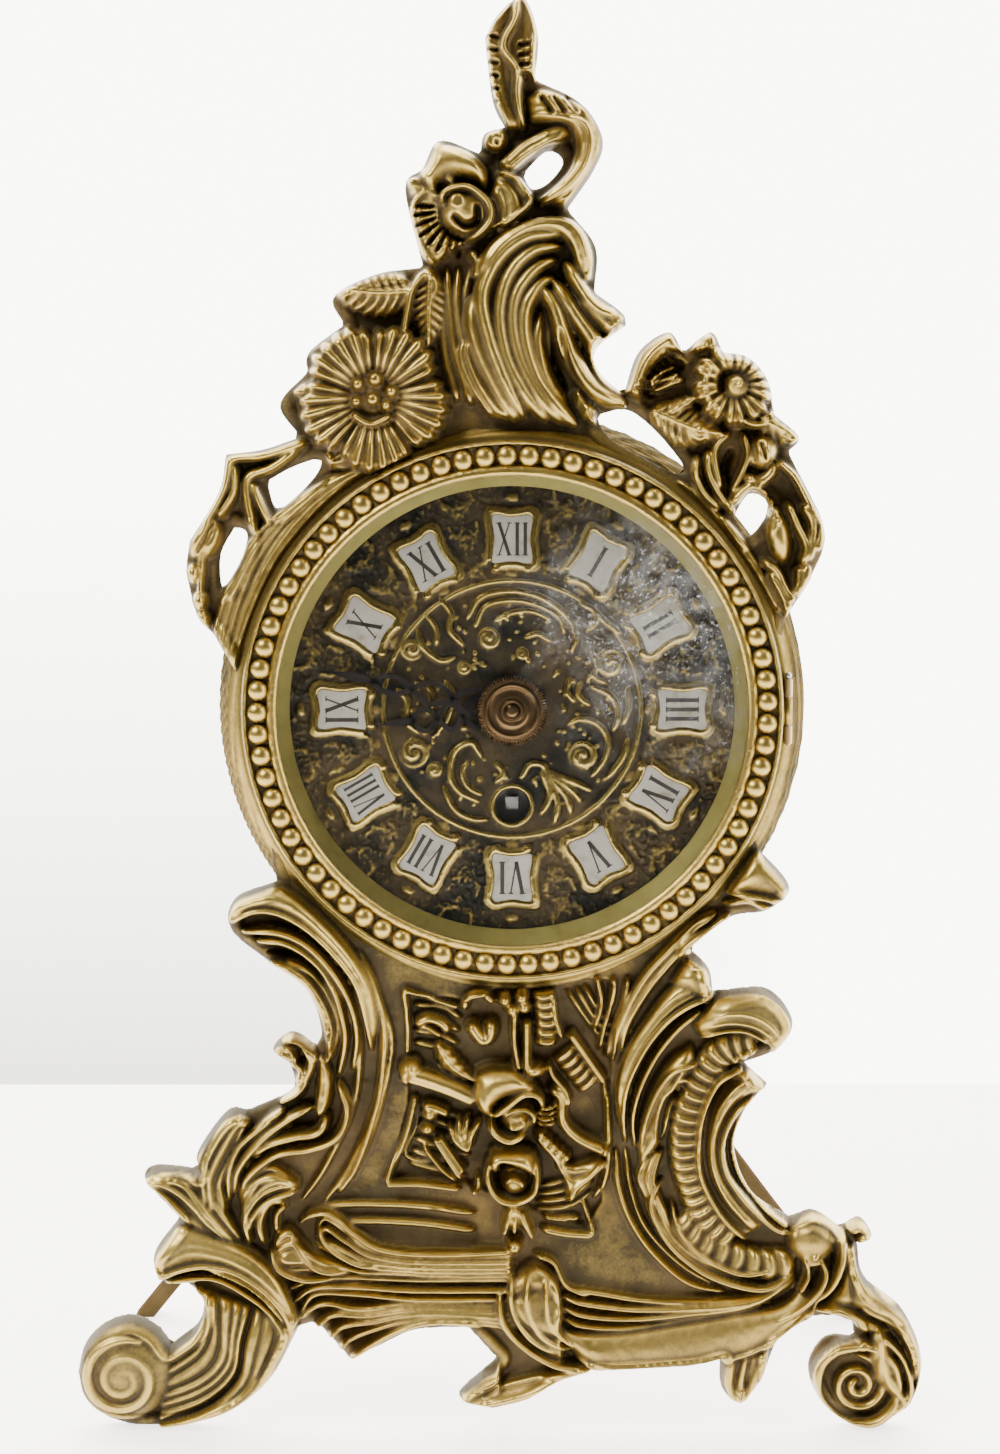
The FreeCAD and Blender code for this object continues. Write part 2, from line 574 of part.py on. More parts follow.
SIGHT_R = 45.8
SIGHT_TOP_R = 49.4
SIGHT_OUTER_R = 50.2


def sight_ring():
    """The gilt cone between the dial and the glass."""
    top_y = BAND_FRONT_Y + 0.1
    return turned([
        (SIGHT_R, DIAL_FRONT_Y), (SIGHT_R, DIAL_FRONT_Y - 0.5), (SIGHT_TOP_R, top_y),
        (SIGHT_OUTER_R, top_y), (SIGHT_OUTER_R, LIP_BACK_Y), (DIAL_R, LIP_BACK_Y), (DIAL_R, DIAL_FRONT_Y),
    ])


# ---------------------------------------------------------------- hands
HOUR_HAND_Y = (-26.2, -25.7)
MINUTE_HAND_Y = (-27.3, -26.8)
HOUR_ANGLE = 263.5              # clockwise from twelve, as seen from the front
MINUTE_ANGLE = 282.0


def pointed(points, y0, y1, angle_deg):
    """A symmetric flat hand drawn pointing to twelve and then turned."""
    right = [(x, z) for x, z in points]
    left = [(-x, z) for x, z in reversed(points) if x > 0]
    plate = extruded([(DIAL_X + x, DIAL_Z + z) for x, z in right + left], y0, y1)
    return turned_about_y(plate, angle_deg, 0, 0)


def hour_hand():
    outline = [(1.2, 4.0), (1.2, 8.0), (3.6, 11.5), (2.2, 15.0), (4.0, 18.5), (1.6, 21.5), (0.0, 28.0)]
    blade = pointed(outline,
                    HOUR_HAND_Y[0], HOUR_HAND_Y[1], HOUR_ANGLE)
    hub = disc(0, 0, 5.2, HOUR_HAND_Y[0], HOUR_HAND_Y[1])
    return fused([blade, hub]).cut(disc(0, 0, 2.7, -40, 0))


def minute_hand():
    outline = [(1.2, 3.5), (1.2, 12.0), (3.0, 16.0), (1.8, 20.5), (3.2, 25.0), (1.4, 29.0), (0.0, 40.0)]
    blade = pointed(outline,
                    MINUTE_HAND_Y[0], MINUTE_HAND_Y[1], MINUTE_ANGLE)
    hub = disc(0, 0, 4.2, MINUTE_HAND_Y[0], MINUTE_HAND_Y[1])
    return fused([blade, hub]).cut(disc(0, 0, 1.5, -40, 0))


def hand_setting_disc():
    """A knurled disc that turns the minute hand."""
    body = disc(0, 0, 7.3, -28.4, MINUTE_HAND_Y[0])
    notches = []
    for k in range(60):
        x, z = around(7.45, 6 * k)
        notches.append(disc(x, z, 0.22, -30, -20))
    body = body.cut(Part.makeCompound(notches))
    lip = ring(0, 0, 5.6, 4.9, -28.7, -28.4)
    return body.fuse(lip).cut(disc(0, 0, 1.5, -40, 0))


def hand_nut():
    base = disc(0, 0, 2.4, -29.1, -28.4)
    cap = turned([(0, -29.1), (1.7, -29.1), (1.2, -29.6), (0, -29.7)])
    return fused([base, cap])


# ---------------------------------------------------------------- gears
def gear(x, z, teeth, module, y0, y1, bore, tooth_at, small=False):
    """A spur gear with straight-flanked teeth; tooth_at is the angle of one tooth."""
    add = 0.45 if small else 0.80
    ded = 1.55 if small else 1.35
    root_w, pitch_w, tip_w = (0.36, 0.32, 0.16) if small else (0.50, 0.36, 0.12)
    pitch_r = module * teeth / 2
    step = TAU / teeth
    flanks = ((pitch_r - ded * module, -root_w), (pitch_r, -pitch_w), (pitch_r + add * module, -tip_w),
              (pitch_r + add * module, tip_w), (pitch_r, pitch_w), (pitch_r - ded * module, root_w))
    points = []
    for k in range(teeth):
        for radius, width in flanks:
            a = tooth_at + step * (k + width / 2)
            points.append((DIAL_X + x + radius * math.cos(a), DIAL_Z + z + radius * math.sin(a)))
    body = extruded(points, y0, y1)
    if bore > 0:
        body = body.cut(disc(x, z, bore, y0 - 1, y1 + 1))
    return body


def spoked(wheel, x, z, rim_r, hub_r, y0, y1, spokes=4):
    """Cut the windows of a crossed-out train wheel."""
    window = ring(x, z, rim_r, hub_r, y0 - 1, y1 + 1)
    arm = rim_r * 0.09 + 0.25
    arms = []
    for k in range(spokes):
        strip = block(-rim_r - 1, rim_r + 1, y0 - 2, y1 + 2, -arm, arm)
        strip.translate(V(DIAL_X + x, 0, DIAL_Z + z))
        arms.append(turned_about_y(strip, 180.0 * k / spokes, x, z))
    return wheel.cut(window.cut(Part.makeCompound(arms)))


def direction(a, b):
    return math.atan2(b[1] - a[1], b[0] - a[0])


def beyond(start, angle_deg, distance):
    a = math.radians(angle_deg)
    return start[0] + distance * math.cos(a), start[1] + distance * math.sin(a)


# Tooth counts and modules of the train, from the barrel to the escape wheel
BARREL_TEETH = 72
CENTRE_PINION = 12
CENTRE_TEETH = 75
THIRD_PINION = 10
THIRD_TEETH = 80
FOURTH_PINION = 10
FOURTH_TEETH = 70
ESCAPE_PINION = 7
ESCAPE_TEETH = 15
M_BARREL = 2 * WINDING_DROP / (BARREL_TEETH + CENTRE_PINION)
M_CENTRE = 0.30
M_THIRD = 0.28
M_FOURTH = 0.22

CENTRE = (0.0, 0.0)
BARREL = (0.0, -WINDING_DROP)
THIRD = beyond(CENTRE, 150.0, M_CENTRE * (CENTRE_TEETH + THIRD_PINION) / 2)
FOURTH = beyond(THIRD, 60.0, M_THIRD * (THIRD_TEETH + FOURTH_PINION) / 2)
ESCAPE = beyond(FOURTH, -10.0, M_FOURTH * (FOURTH_TEETH + ESCAPE_PINION) / 2)
LEVER = beyond(ESCAPE, 33.0, 6.0)
BALANCE = beyond(ESCAPE, 33.0, 13.0)

# Motion work behind the dial
CANNON_TEETH = 12
MINUTE_TEETH = 36
MINUTE_PINION = 10
HOUR_TEETH = 40
MOTION_DISTANCE = 8.4
M_CANNON = 2 * MOTION_DISTANCE / (CANNON_TEETH + MINUTE_TEETH)
M_HOUR = 2 * MOTION_DISTANCE / (MINUTE_PINION + HOUR_TEETH)
MINUTE_ARBOR = beyond(CENTRE, 20.0, MOTION_DISTANCE)

ARBOR_R = 0.8
PIVOT_R = 0.5
CENTRE_ARBOR_R = 1.0
POST_OUTER_R = 2.4


# ---------------------------------------------------------------- movement frame
def plate_holes(body):
    for place in (THIRD, FOURTH, ESCAPE, LEVER):
        body = body.cut(disc(place[0], place[1], PIVOT_R + PIVOT_FIT, -30, 30))
    return body


def front_plate():
    y0, y1 = FRONT_PLATE_Y
    parts = [disc(0, 0, PLATE_R, y0, y1)]
    for angle in POST_ANGLES:
        x, z = around(POST_R, angle)
        ear = block(0, POST_R, y0, y1, -4, 4)
        ear.translate(V(DIAL_X, 0, DIAL_Z))
        parts.append(turned_about_y(ear, -angle, 0, 0))
        parts.append(disc(x, z, 4.0, y0, y1))
    body = plate_holes(fused(parts))
    body = body.cut(disc(0, 0, CENTRE_ARBOR_R + PIVOT_FIT, -30, 0))
    body = body.cut(disc(BARREL[0], BARREL[1], 2.6 + PIVOT_FIT, -30, 0))
    body = body.cut(disc(BALANCE[0], BALANCE[1], PIVOT_R + PIVOT_FIT, -30, 0))
    for angle in POST_ANGLES:
        body = body.cut(disc(*around(POST_R, angle), 1.0, -30, 0))
    for angle in PILLAR_ANGLES:
        body = body.cut(disc(*around(PILLAR_RING_R, angle), 1.5, -30, 0))
    for angle in DIAL_FEET_ANGLES:
        body = body.cut(disc(*around(DIAL_FEET_R, angle), 1.0, -30, 0))
    body = body.cut(disc(CLICK[0], CLICK[1], 0.8, -30, 0))
    stud = disc(MINUTE_ARBOR[0], MINUTE_ARBOR[1], 1.0, -20.9, y0)
    return body.fuse(stud)


def back_plate():
    y0, y1 = BACK_PLATE_Y
    body = plate_holes(disc(0, 0, PLATE_R, y0, y1))
    body = body.cut(disc(0, 0, CENTRE_ARBOR_R + PIVOT_FIT, 0, 30))
    body = body.cut(disc(BARREL[0], BARREL[1], 2.0 + PIVOT_FIT, 0, 30))
    body = body.cut(disc(BALANCE[0], BALANCE[1], 1.4, 0, 30))
    body = body.cut(disc(COCK_SCREW[0], COCK_SCREW[1], 1.0, 0, 30))
    for angle in PILLAR_ANGLES:
        body = body.cut(disc(*around(PILLAR_RING_R, angle), 1.5, 0, 30))
    return body


PILLAR_RING_R = 34.0
PILLAR_ANGLES = (0, 90, 180, 235, 305)


def pillars():
    posts = []
    for angle in PILLAR_ANGLES:
        x, z = around(PILLAR_RING_R, angle)
        body = disc(x, z, 2.2, FRONT_PLATE_Y[1], BACK_PLATE_Y[0])
        front = disc(x, z, 1.5, FRONT_PLATE_Y[0], FRONT_PLATE_Y[1])
        rear = disc(x, z, 1.5, BACK_PLATE_Y[0], BACK_PLATE_Y[1] + 2.6)
        waist = ring(x, z, 2.6, 1.7, -4.0, -1.0)
        posts.append(fused([body, front, rear]).cut(waist))
    return group(posts)


def pillar_nuts():
    nuts = []
    y0 = BACK_PLATE_Y[1]
    for angle in PILLAR_ANGLES:
        x, z = around(PILLAR_RING_R, angle)
        corners = []
        for k in range(6):
            hx, hz = around(2.9, 60 * k)
            corners.append((DIAL_X + x + hx, DIAL_Z + z + hz))
        nuts.append(extruded(corners, y0, y0 + 2.0).cut(disc(x, z, 1.5, y0 - 1, y0 + 4)))
    return group(nuts)


def movement_posts():
    posts = []
    for angle in POST_ANGLES:
        x, z = around(POST_R, angle)
        posts.append(ring(x, z, POST_OUTER_R, 1.0, DIAL_BACK_Y + 0.8, FRONT_PLATE_Y[0]))
    return group(posts)


def movement_screws():
    screws = []
    for angle in POST_ANGLES:
        x, z = around(POST_R, angle)
        seat = FRONT_PLATE_Y[1]
        shank = disc(x, z, 1.0, -19.0, seat)
        head = disc(x, z, 1.9, seat, seat + 1.4)
        slot = block(-2.5, 2.5, seat + 0.8, seat + 2, -0.25, 0.25)
        slot.translate(V(DIAL_X + x, 0, DIAL_Z + z))
        screws.append(shank.fuse(head).cut(slot))
    return group(screws)


# ---------------------------------------------------------------- power
BARREL_Y = (-3.6, 6.4)
BARREL_DRUM_R = 15.9
RATCHET_TEETH = 24
RATCHET_Y = (-16.0, -14.5)
RATCHET_TIP_R = 6.4
RATCHET_ROOT_R = 5.5
CLICK = (11.0, -22.5)


def barrel():
    x, z = BARREL
    y0, y1 = BARREL_Y
    mesh = gear(x, z, BARREL_TEETH, M_BARREL, y0, y0 + 1.2, 0, direction(BARREL, CENTRE))
    shell = disc(x, z, BARREL_DRUM_R, y0, y1)
    body = mesh.fuse(shell)
    body = body.cut(disc(x, z, BARREL_DRUM_R - 0.9, y0 + 1.0, y1 + 1))
    return body.cut(disc(x, z, 2.0 + PIVOT_FIT, y0 - 1, y1))


def barrel_cap():
    x, z = BARREL
    y1 = BARREL_Y[1]
    return ring(x, z, BARREL_DRUM_R - 0.95, 2.0 + PIVOT_FIT, y1 - 1.0, y1)


def mainspring():
    """Wound strip, as nested rings joined by a radial foot."""
    x, z = BARREL
    y0 = BARREL_Y[0] + 1.3
    y1 = BARREL_Y[1] - 1.3
    coils = []
    for k in range(8):
        outer = 14.7 - 1.3 * k
        coils.append(ring(x, z, outer, outer - 0.6, y0, y1))
    foot = block(3.8, 14.5, y0, y1, -0.3, 0.3)
    foot.translate(V(DIAL_X + x, 0, DIAL_Z + z))
    return fused(coils + [foot]).cut(disc(x, z, 3.6, y0 - 1, y1 + 1))


def winding_arbor():
    x, z = BARREL
    thick = disc(x, z, 2.0, -12.4, BACK_PLATE_Y[1] + 1.5)
    front = disc(x, z, 2.6, RATCHET_Y[1] + 0.1, -12.4)
    hub = disc(x, z, 3.4, BARREL_Y[0] + 1.3, BARREL_Y[1] - 1.3)
    half = SQUARE / 2
    square = block(-half, half, -20.6, RATCHET_Y[1] + 0.2, -half, half)
    square.translate(V(DIAL_X + x, 0, DIAL_Z + z))
    return fused([thick, front, hub, square])


def ratchet_wheel():
    """Slanted teeth that let the arbor turn one way past the click."""
    x, z = BARREL
    points = []
    for k in range(RATCHET_TEETH):
        for radius, part in ((RATCHET_TIP_R, 0.0), (RATCHET_ROOT_R, 0.12)):
            a = TAU * (k + part) / RATCHET_TEETH
            points.append((DIAL_X + x + radius * math.cos(a), DIAL_Z + z + radius * math.sin(a)))
    body = extruded(points, RATCHET_Y[0], RATCHET_Y[1])
    half = SQUARE / 2
    hole = block(-half, half, -30, 0, -half, half)
    hole.translate(V(DIAL_X + x, 0, DIAL_Z + z))
    return body.cut(hole)


def click():
    """A pawl on its screw, with its nose in a tooth gap of the ratchet wheel."""
    x, z = CLICK
    hub = disc(x, z, 1.9, RATCHET_Y[0], RATCHET_Y[1])
    tip_x, tip_z = beyond(BARREL, 4.5, RATCHET_ROOT_R + 0.35)
    outline = [(tip_x, tip_z - 0.05), (x - 1.2, z + 1.1), (x + 0.6, z + 1.7), (tip_x + 0.25, tip_z + 0.25)]
    nose = extruded([(DIAL_X + a, DIAL_Z + b) for a, b in outline], RATCHET_Y[0], RATCHET_Y[1])
    return fused([hub, nose]).cut(disc(x, z, 0.8 + PIVOT_FIT, -30, 0))


def click_screw():
    x, z = CLICK
    shank = disc(x, z, 0.8, RATCHET_Y[0] - 0.2, FRONT_PLATE_Y[1])
    head = disc(x, z, 1.7, RATCHET_Y[0] - 1.1, RATCHET_Y[0] - 0.1)
    return fused([shank, head])


def click_spring():
    """A bent wire that rests just outside the click."""
    y = RATCHET_Y[0] + 0.6
    x = DIAL_X + CLICK[0]
    z = DIAL_Z + CLICK[1]
    wire = bar((x + 4.6, y, z - 7.0), (x + 3.4, y, z + 4.0), 0.3)
    foot = bar((x + 4.6, y, z - 7.0), (x + 4.6, FRONT_PLATE_Y[0], z - 7.0), 0.3)
    corner = Part.makeSphere(0.3, V(x + 4.6, y, z - 7.0))
    return fused([wire, foot, corner])


# ---------------------------------------------------------------- train
def arbor(place, y_front, y_back, radius=ARBOR_R, pivot=PIVOT_R):
    """A straight arbor between the plates with a pivot at each end."""
    x, z = place
    body = disc(x, z, radius, FRONT_PLATE_Y[1] + 0.2, BACK_PLATE_Y[0] - 0.2)
    return fused([body, disc(x, z, pivot, y_front, y_back)])


def centre_arbor():
    x, z = CENTRE
    shaft = disc(x, z, CENTRE_ARBOR_R, -28.2, BACK_PLATE_Y[1] + 0.6)
    pinion = gear(x, z, CENTRE_PINION, M_BARREL, -4.2, -2.0, 0,
                  direction(CENTRE, BARREL) + math.pi / CENTRE_PINION, small=True)
    return fused([shaft, pinion])


def train_wheel(place, teeth, module, y0, y1, tooth_at, hub):
    x, z = place
    rim_r = module * teeth / 2 - 2.6 * module - 0.5
    wheel = gear(x, z, teeth, module, y0, y1, 0, tooth_at)
    wheel = spoked(wheel, x, z, rim_r, hub + 1.6, y0, y1)
    return wheel.cut(disc(x, z, hub, y0 - 1, y1 + 1))


def centre_wheel():
    return train_wheel(CENTRE, CENTRE_TEETH, M_CENTRE, -6.4, -5.4, direction(CENTRE, THIRD), CENTRE_ARBOR_R)


def third_arbor():
    shaft = arbor(THIRD, FRONT_PLATE_Y[0], BACK_PLATE_Y[1])
    pinion = gear(THIRD[0], THIRD[1], THIRD_PINION, M_CENTRE, -7.6, -4.4, 0,
                  direction(THIRD, CENTRE) + math.pi / THIRD_PINION, small=True)
    return fused([shaft, pinion])


def third_wheel():
    return train_wheel(THIRD, THIRD_TEETH, M_THIRD, 1.8, 2.6, direction(THIRD, FOURTH), ARBOR_R)


def fourth_arbor():
    shaft = arbor(FOURTH, FRONT_PLATE_Y[0], BACK_PLATE_Y[1])
    pinion = gear(FOURTH[0], FOURTH[1], FOURTH_PINION, M_THIRD, 1.0, 3.4, 0,
                  direction(FOURTH, THIRD) + math.pi / FOURTH_PINION, small=True)
    return fused([shaft, pinion])


def fourth_wheel():
    return train_wheel(FOURTH, FOURTH_TEETH, M_FOURTH, -1.4, -0.7, direction(FOURTH, ESCAPE), ARBOR_R)


def escape_arbor():
    shaft = arbor(ESCAPE, FRONT_PLATE_Y[0], BACK_PLATE_Y[1], 0.6, 0.5)
    pinion = gear(ESCAPE[0], ESCAPE[1], ESCAPE_PINION, M_FOURTH, -2.2, 0.1, 0,
                  direction(ESCAPE, FOURTH) + math.pi / ESCAPE_PINION, small=True)
    return fused([shaft, pinion])


ESCAPE_TIP_R = 3.7
ESCAPE_Y = (4.2, 5.0)


def escape_wheel():
    """Fifteen hooked teeth."""
    x, z = ESCAPE
    points = []
    for k in range(ESCAPE_TEETH):
        for radius, part in ((2.7, 0.05), (ESCAPE_TIP_R, 0.42), (ESCAPE_TIP_R, 0.55), (2.7, 0.62)):
            a = TAU * (k + part) / ESCAPE_TEETH
            points.append((DIAL_X + x + radius * math.cos(a), DIAL_Z + z + radius * math.sin(a)))
    body = extruded(points, ESCAPE_Y[0], ESCAPE_Y[1])
    body = spoked(body, x, z, 2.1, 1.1, ESCAPE_Y[0], ESCAPE_Y[1], 2)
    return body.cut(disc(x, z, 0.6, 0, 10))


# ---------------------------------------------------------------- escapement
BALANCE_R = 8.0
BALANCE_Y = (11.4, 12.4)
LEVER_TURN = 33.0
COCK_SCREW = beyond(BALANCE, 60.0, 11.2)


def pallet_lever():
    """Arbor, two pallets around the escape wheel and a fork towards the balance."""
    x, z = LEVER
    arbor_shape = arbor(LEVER, FRONT_PLATE_Y[0], BACK_PLATE_Y[1], 0.6, 0.5)
    y0, y1 = ESCAPE_Y
    half = [(4.6, 0.0), (5.0, 0.6), (5.0, 1.1), (4.2, 0.45), (0.9, 0.9), (-0.9, 5.2), (-4.2, 5.6),
            (-4.5, 4.8), (-2.0, 4.0), (-0.9, 0.0)]
    mirrored = [(a, -b) for a, b in reversed(half[1:-1])]
    outline = half + mirrored
    body = extruded([(DIAL_X + x + a, DIAL_Z + z + b) for a, b in outline], y0, y1)
    body = turned_about_y(body, -LEVER_TURN, x, z)
    return fused([body, arbor_shape])


def balance_staff():
    x, z = BALANCE
    staff = disc(x, z, 0.6, FRONT_PLATE_Y[1] + 0.2, 15.6)
    pivots = disc(x, z, PIVOT_R, FRONT_PLATE_Y[0], 17.4)
    roller = disc(x, z, 1.3, ESCAPE_Y[0], ESCAPE_Y[1])
    return fused([staff, pivots, roller])


def balance_wheel():
    x, z = BALANCE
    y0, y1 = BALANCE_Y
    rim = ring(x, z, BALANCE_R, BALANCE_R - 1.1, y0, y1)
    arm = block(-BALANCE_R + 0.8, BALANCE_R - 0.8, y0, y1, -0.6, 0.6)
    arm.translate(V(DIAL_X + x, 0, DIAL_Z + z))
    hub = disc(x, z, 1.5, y0, y1)
    return fused([rim, arm, hub]).cut(disc(x, z, 0.6, 0, 30))


def hairspring():
    """Flat spiral, as fine nested rings joined by a short foot, pinned to the cock."""
    x, z = BALANCE
    y0 = 13.2
    y1 = 13.6
    coils = [ring(x, z, 5.0 - 0.7 * k, 4.85 - 0.7 * k, y0, y1) for k in range(6)]
    foot = block(1.0, 4.95, y0, y1, -0.08, 0.08)
    foot.translate(V(DIAL_X + x, 0, DIAL_Z + z))
    stud_x, stud_z = beyond(BALANCE, 60.0, 4.925)
    stud = disc(stud_x, stud_z, 0.4, y0, 15.8)
    return fused(coils + [foot, stud]).cut(disc(x, z, 0.9, 0, 30))


def balance_cock():
    x, z = BALANCE
    root = disc(COCK_SCREW[0], COCK_SCREW[1], 2.4, BACK_PLATE_Y[1], 15.8)
    strip = block(0, 11.2, 15.8, 17.4, -2.2, 2.2)
    strip.translate(V(DIAL_X + x, 0, DIAL_Z + z))
    strip = turned_about_y(strip, -60.0, x, z)
    eye = disc(x, z, 2.8, 15.8, 17.4)
    root_top = disc(COCK_SCREW[0], COCK_SCREW[1], 2.4, 15.8, 17.4)
    body = fused([root, strip, eye, root_top])
    body = body.cut(disc(x, z, PIVOT_R + PIVOT_FIT, 0, 30))
    return body.cut(disc(COCK_SCREW[0], COCK_SCREW[1], 1.0, 0, 30))


def cock_screw():
    x, z = COCK_SCREW
    shank = disc(x, z, 1.0, BACK_PLATE_Y[0] + 0.2, 17.4)
    head = disc(x, z, 1.9, 17.4, 18.6)
    slot = block(-2.5, 2.5, 18.1, 19.5, -0.25, 0.25)
    slot.translate(V(DIAL_X + x, 0, DIAL_Z + z))
    return shank.fuse(head).cut(slot)


def regulator():
    """An index that turns on the round of the cock around the balance pivot."""
    x, z = BALANCE
    collar = ring(x, z, 2.0, PIVOT_R + 0.3, 17.5, 18.2)
    pointer = block(-9.0, -1.2, 17.5, 18.2, -0.5, 0.5)
    pointer.translate(V(DIAL_X + x, 0, DIAL_Z + z))
    return fused([collar, pointer])


# ---------------------------------------------------------------- motion work
def cannon_pinion():
    """Tube on the centre arbor that carries the minute hand."""
    x, z = CENTRE
    tube = disc(x, z, 1.5, -28.4, -14.6)
    teeth = gear(x, z, CANNON_TEETH, M_CANNON, -17.4, -15.4, 0,
                 direction(CENTRE, MINUTE_ARBOR) + math.pi / CANNON_TEETH, small=True)
    body = fused([tube, teeth])
    return body.cut(disc(x, z, CENTRE_ARBOR_R + 0.03, -40, 0))


def minute_wheel():
    x, z = MINUTE_ARBOR
    wheel = gear(x, z, MINUTE_TEETH, M_CANNON, -16.9, -16.1, 0, direction(MINUTE_ARBOR, CENTRE))
    pinion = gear(x, z, MINUTE_PINION, M_HOUR, -20.4, -16.9, 0,
                  direction(MINUTE_ARBOR, CENTRE) + math.pi / MINUTE_PINION, small=True)
    return fused([wheel, pinion]).cut(disc(x, z, 1.0 + PIVOT_FIT, -40, 0))


def hour_wheel():
    x, z = CENTRE
    wheel = gear(x, z, HOUR_TEETH, M_HOUR, -19.8, -19.0, 0, direction(CENTRE, MINUTE_ARBOR))
    pipe = disc(x, z, 2.7, HOUR_HAND_Y[0] - 0.1, -19.0)
    return fused([wheel, pipe]).cut(disc(x, z, 1.5 + PIVOT_FIT, -40, 0))


PIECES = [
    front_casting, drum_case, case_screws, back_cover, cover_knob, rear_leg_frame, leg_screws,
    bezel_ring, bezel_glass, hinge_bracket, hinge_pin,
    dial_plate, dial_cartouches, sight_ring, hour_hand, minute_hand, hand_setting_disc, hand_nut,
    front_plate, back_plate, pillars, pillar_nuts, movement_posts, movement_screws,
    barrel, barrel_cap, mainspring, winding_arbor, ratchet_wheel, click, click_screw, click_spring,
    centre_arbor, centre_wheel, third_arbor, third_wheel, fourth_arbor, fourth_wheel,
    escape_arbor, escape_wheel, pallet_lever, balance_staff, balance_wheel, hairspring,
    balance_cock, cock_screw, regulator, cannon_pinion, minute_wheel, hour_wheel,
]


def main():
    os.makedirs("parts", exist_ok=True)
    for piece in PIECES:
        shape = piece()
        save(piece.__name__, shape)
        box = shape.BoundBox
        print("%-18s solids %2d valid %s volume %9.1f  x %.1f %.1f y %.1f %.1f z %.1f %.1f" % (
            piece.__name__, len(shape.Solids), shape.isValid(), shape.Volume,
            box.XMin, box.XMax, box.YMin, box.YMax, box.ZMin, box.ZMax))


main()
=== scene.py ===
import math

import bpy
import numpy as np
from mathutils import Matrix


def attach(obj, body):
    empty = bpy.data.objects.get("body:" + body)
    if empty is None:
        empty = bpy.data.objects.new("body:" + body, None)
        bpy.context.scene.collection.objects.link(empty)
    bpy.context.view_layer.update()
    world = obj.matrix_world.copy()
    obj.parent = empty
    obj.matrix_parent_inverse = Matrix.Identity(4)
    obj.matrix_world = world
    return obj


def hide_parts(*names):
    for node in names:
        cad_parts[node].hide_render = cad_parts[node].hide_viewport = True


# Looks of the rococo mantel clock. Everything is drawn in millimetres in the shared frame
# (X right, Y back, Z up, front towards -Y) and turned into metres when a mesh is made.

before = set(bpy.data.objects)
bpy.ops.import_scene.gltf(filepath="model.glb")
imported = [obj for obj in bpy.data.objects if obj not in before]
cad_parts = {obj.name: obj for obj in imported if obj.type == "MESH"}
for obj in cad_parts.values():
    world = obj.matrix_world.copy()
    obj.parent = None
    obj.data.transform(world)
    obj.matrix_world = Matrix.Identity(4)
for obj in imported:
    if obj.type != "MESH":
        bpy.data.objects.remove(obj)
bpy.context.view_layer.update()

MM = 0.001
TAU = 2 * math.pi
DIAL_X = 2.5
DIAL_Z = 148.3
FRONT_LIMIT_Y = -39.9            # nothing of the casting stands in front of this
BEHIND_BEZEL_Y = -28.1           # the casting keeps behind the bezel here
BEZEL_CLEARANCE_R = 55.9
DIAL_OPENING_R = 51.0
CIRCLE_STEPS = 720


# ---------------------------------------------------------------- lines and relief
def smooth_line(points, count=None, spacing=0.1):
    """Evenly spaced places along a smooth line through a few (x, z) points."""
    p = np.array(points, float)
    dense = p
    if len(p) > 2:
        ends = np.vstack([2 * p[0] - p[1], p, 2 * p[-1] - p[-2]])
        u = np.linspace(0, 1, 20, endpoint=False)[:, None]
        parts = []
        for k in range(len(p) - 1):
            a, b, c, d = ends[k:k + 4]
            bend = (2 * a - 5 * b + 4 * c - d) * u ** 2 + (3 * b - a - 3 * c + d) * u ** 3
            parts.append(0.5 * (2 * b + (c - a) * u + bend))
        dense = np.vstack(parts + [p[-1:]])
    steps = np.hypot(*np.diff(dense, axis=0).T)
    length = np.concatenate([[0], np.cumsum(steps)])
    if count is None:
        count = int(length[-1] / spacing) + 2
    s = np.linspace(0, length[-1], count)
    return np.column_stack([np.interp(s, length, dense[:, k]) for k in (0, 1)])


def line_length(line):
    """Length along a line of places."""
    return float(np.hypot(*np.diff(line, axis=0).T).sum())


def taper(t, start, end):
    """1 along the middle, falling to 0 at an end over the given share of the length."""
    size = np.ones_like(t)
    if start > 0:
        size = size * np.sqrt(1 - (1 - np.minimum(t / start, 1)) ** 2)
    if end > 0:
        size = size * np.sqrt(1 - (1 - np.minimum((1 - t) / end, 1)) ** 2)
    return size


PROFILES = {
    "round": lambda v: np.sqrt(np.maximum(1 - v * v, 0)),
    "soft": lambda v: 0.5 + 0.5 * np.cos(np.pi * v),
}


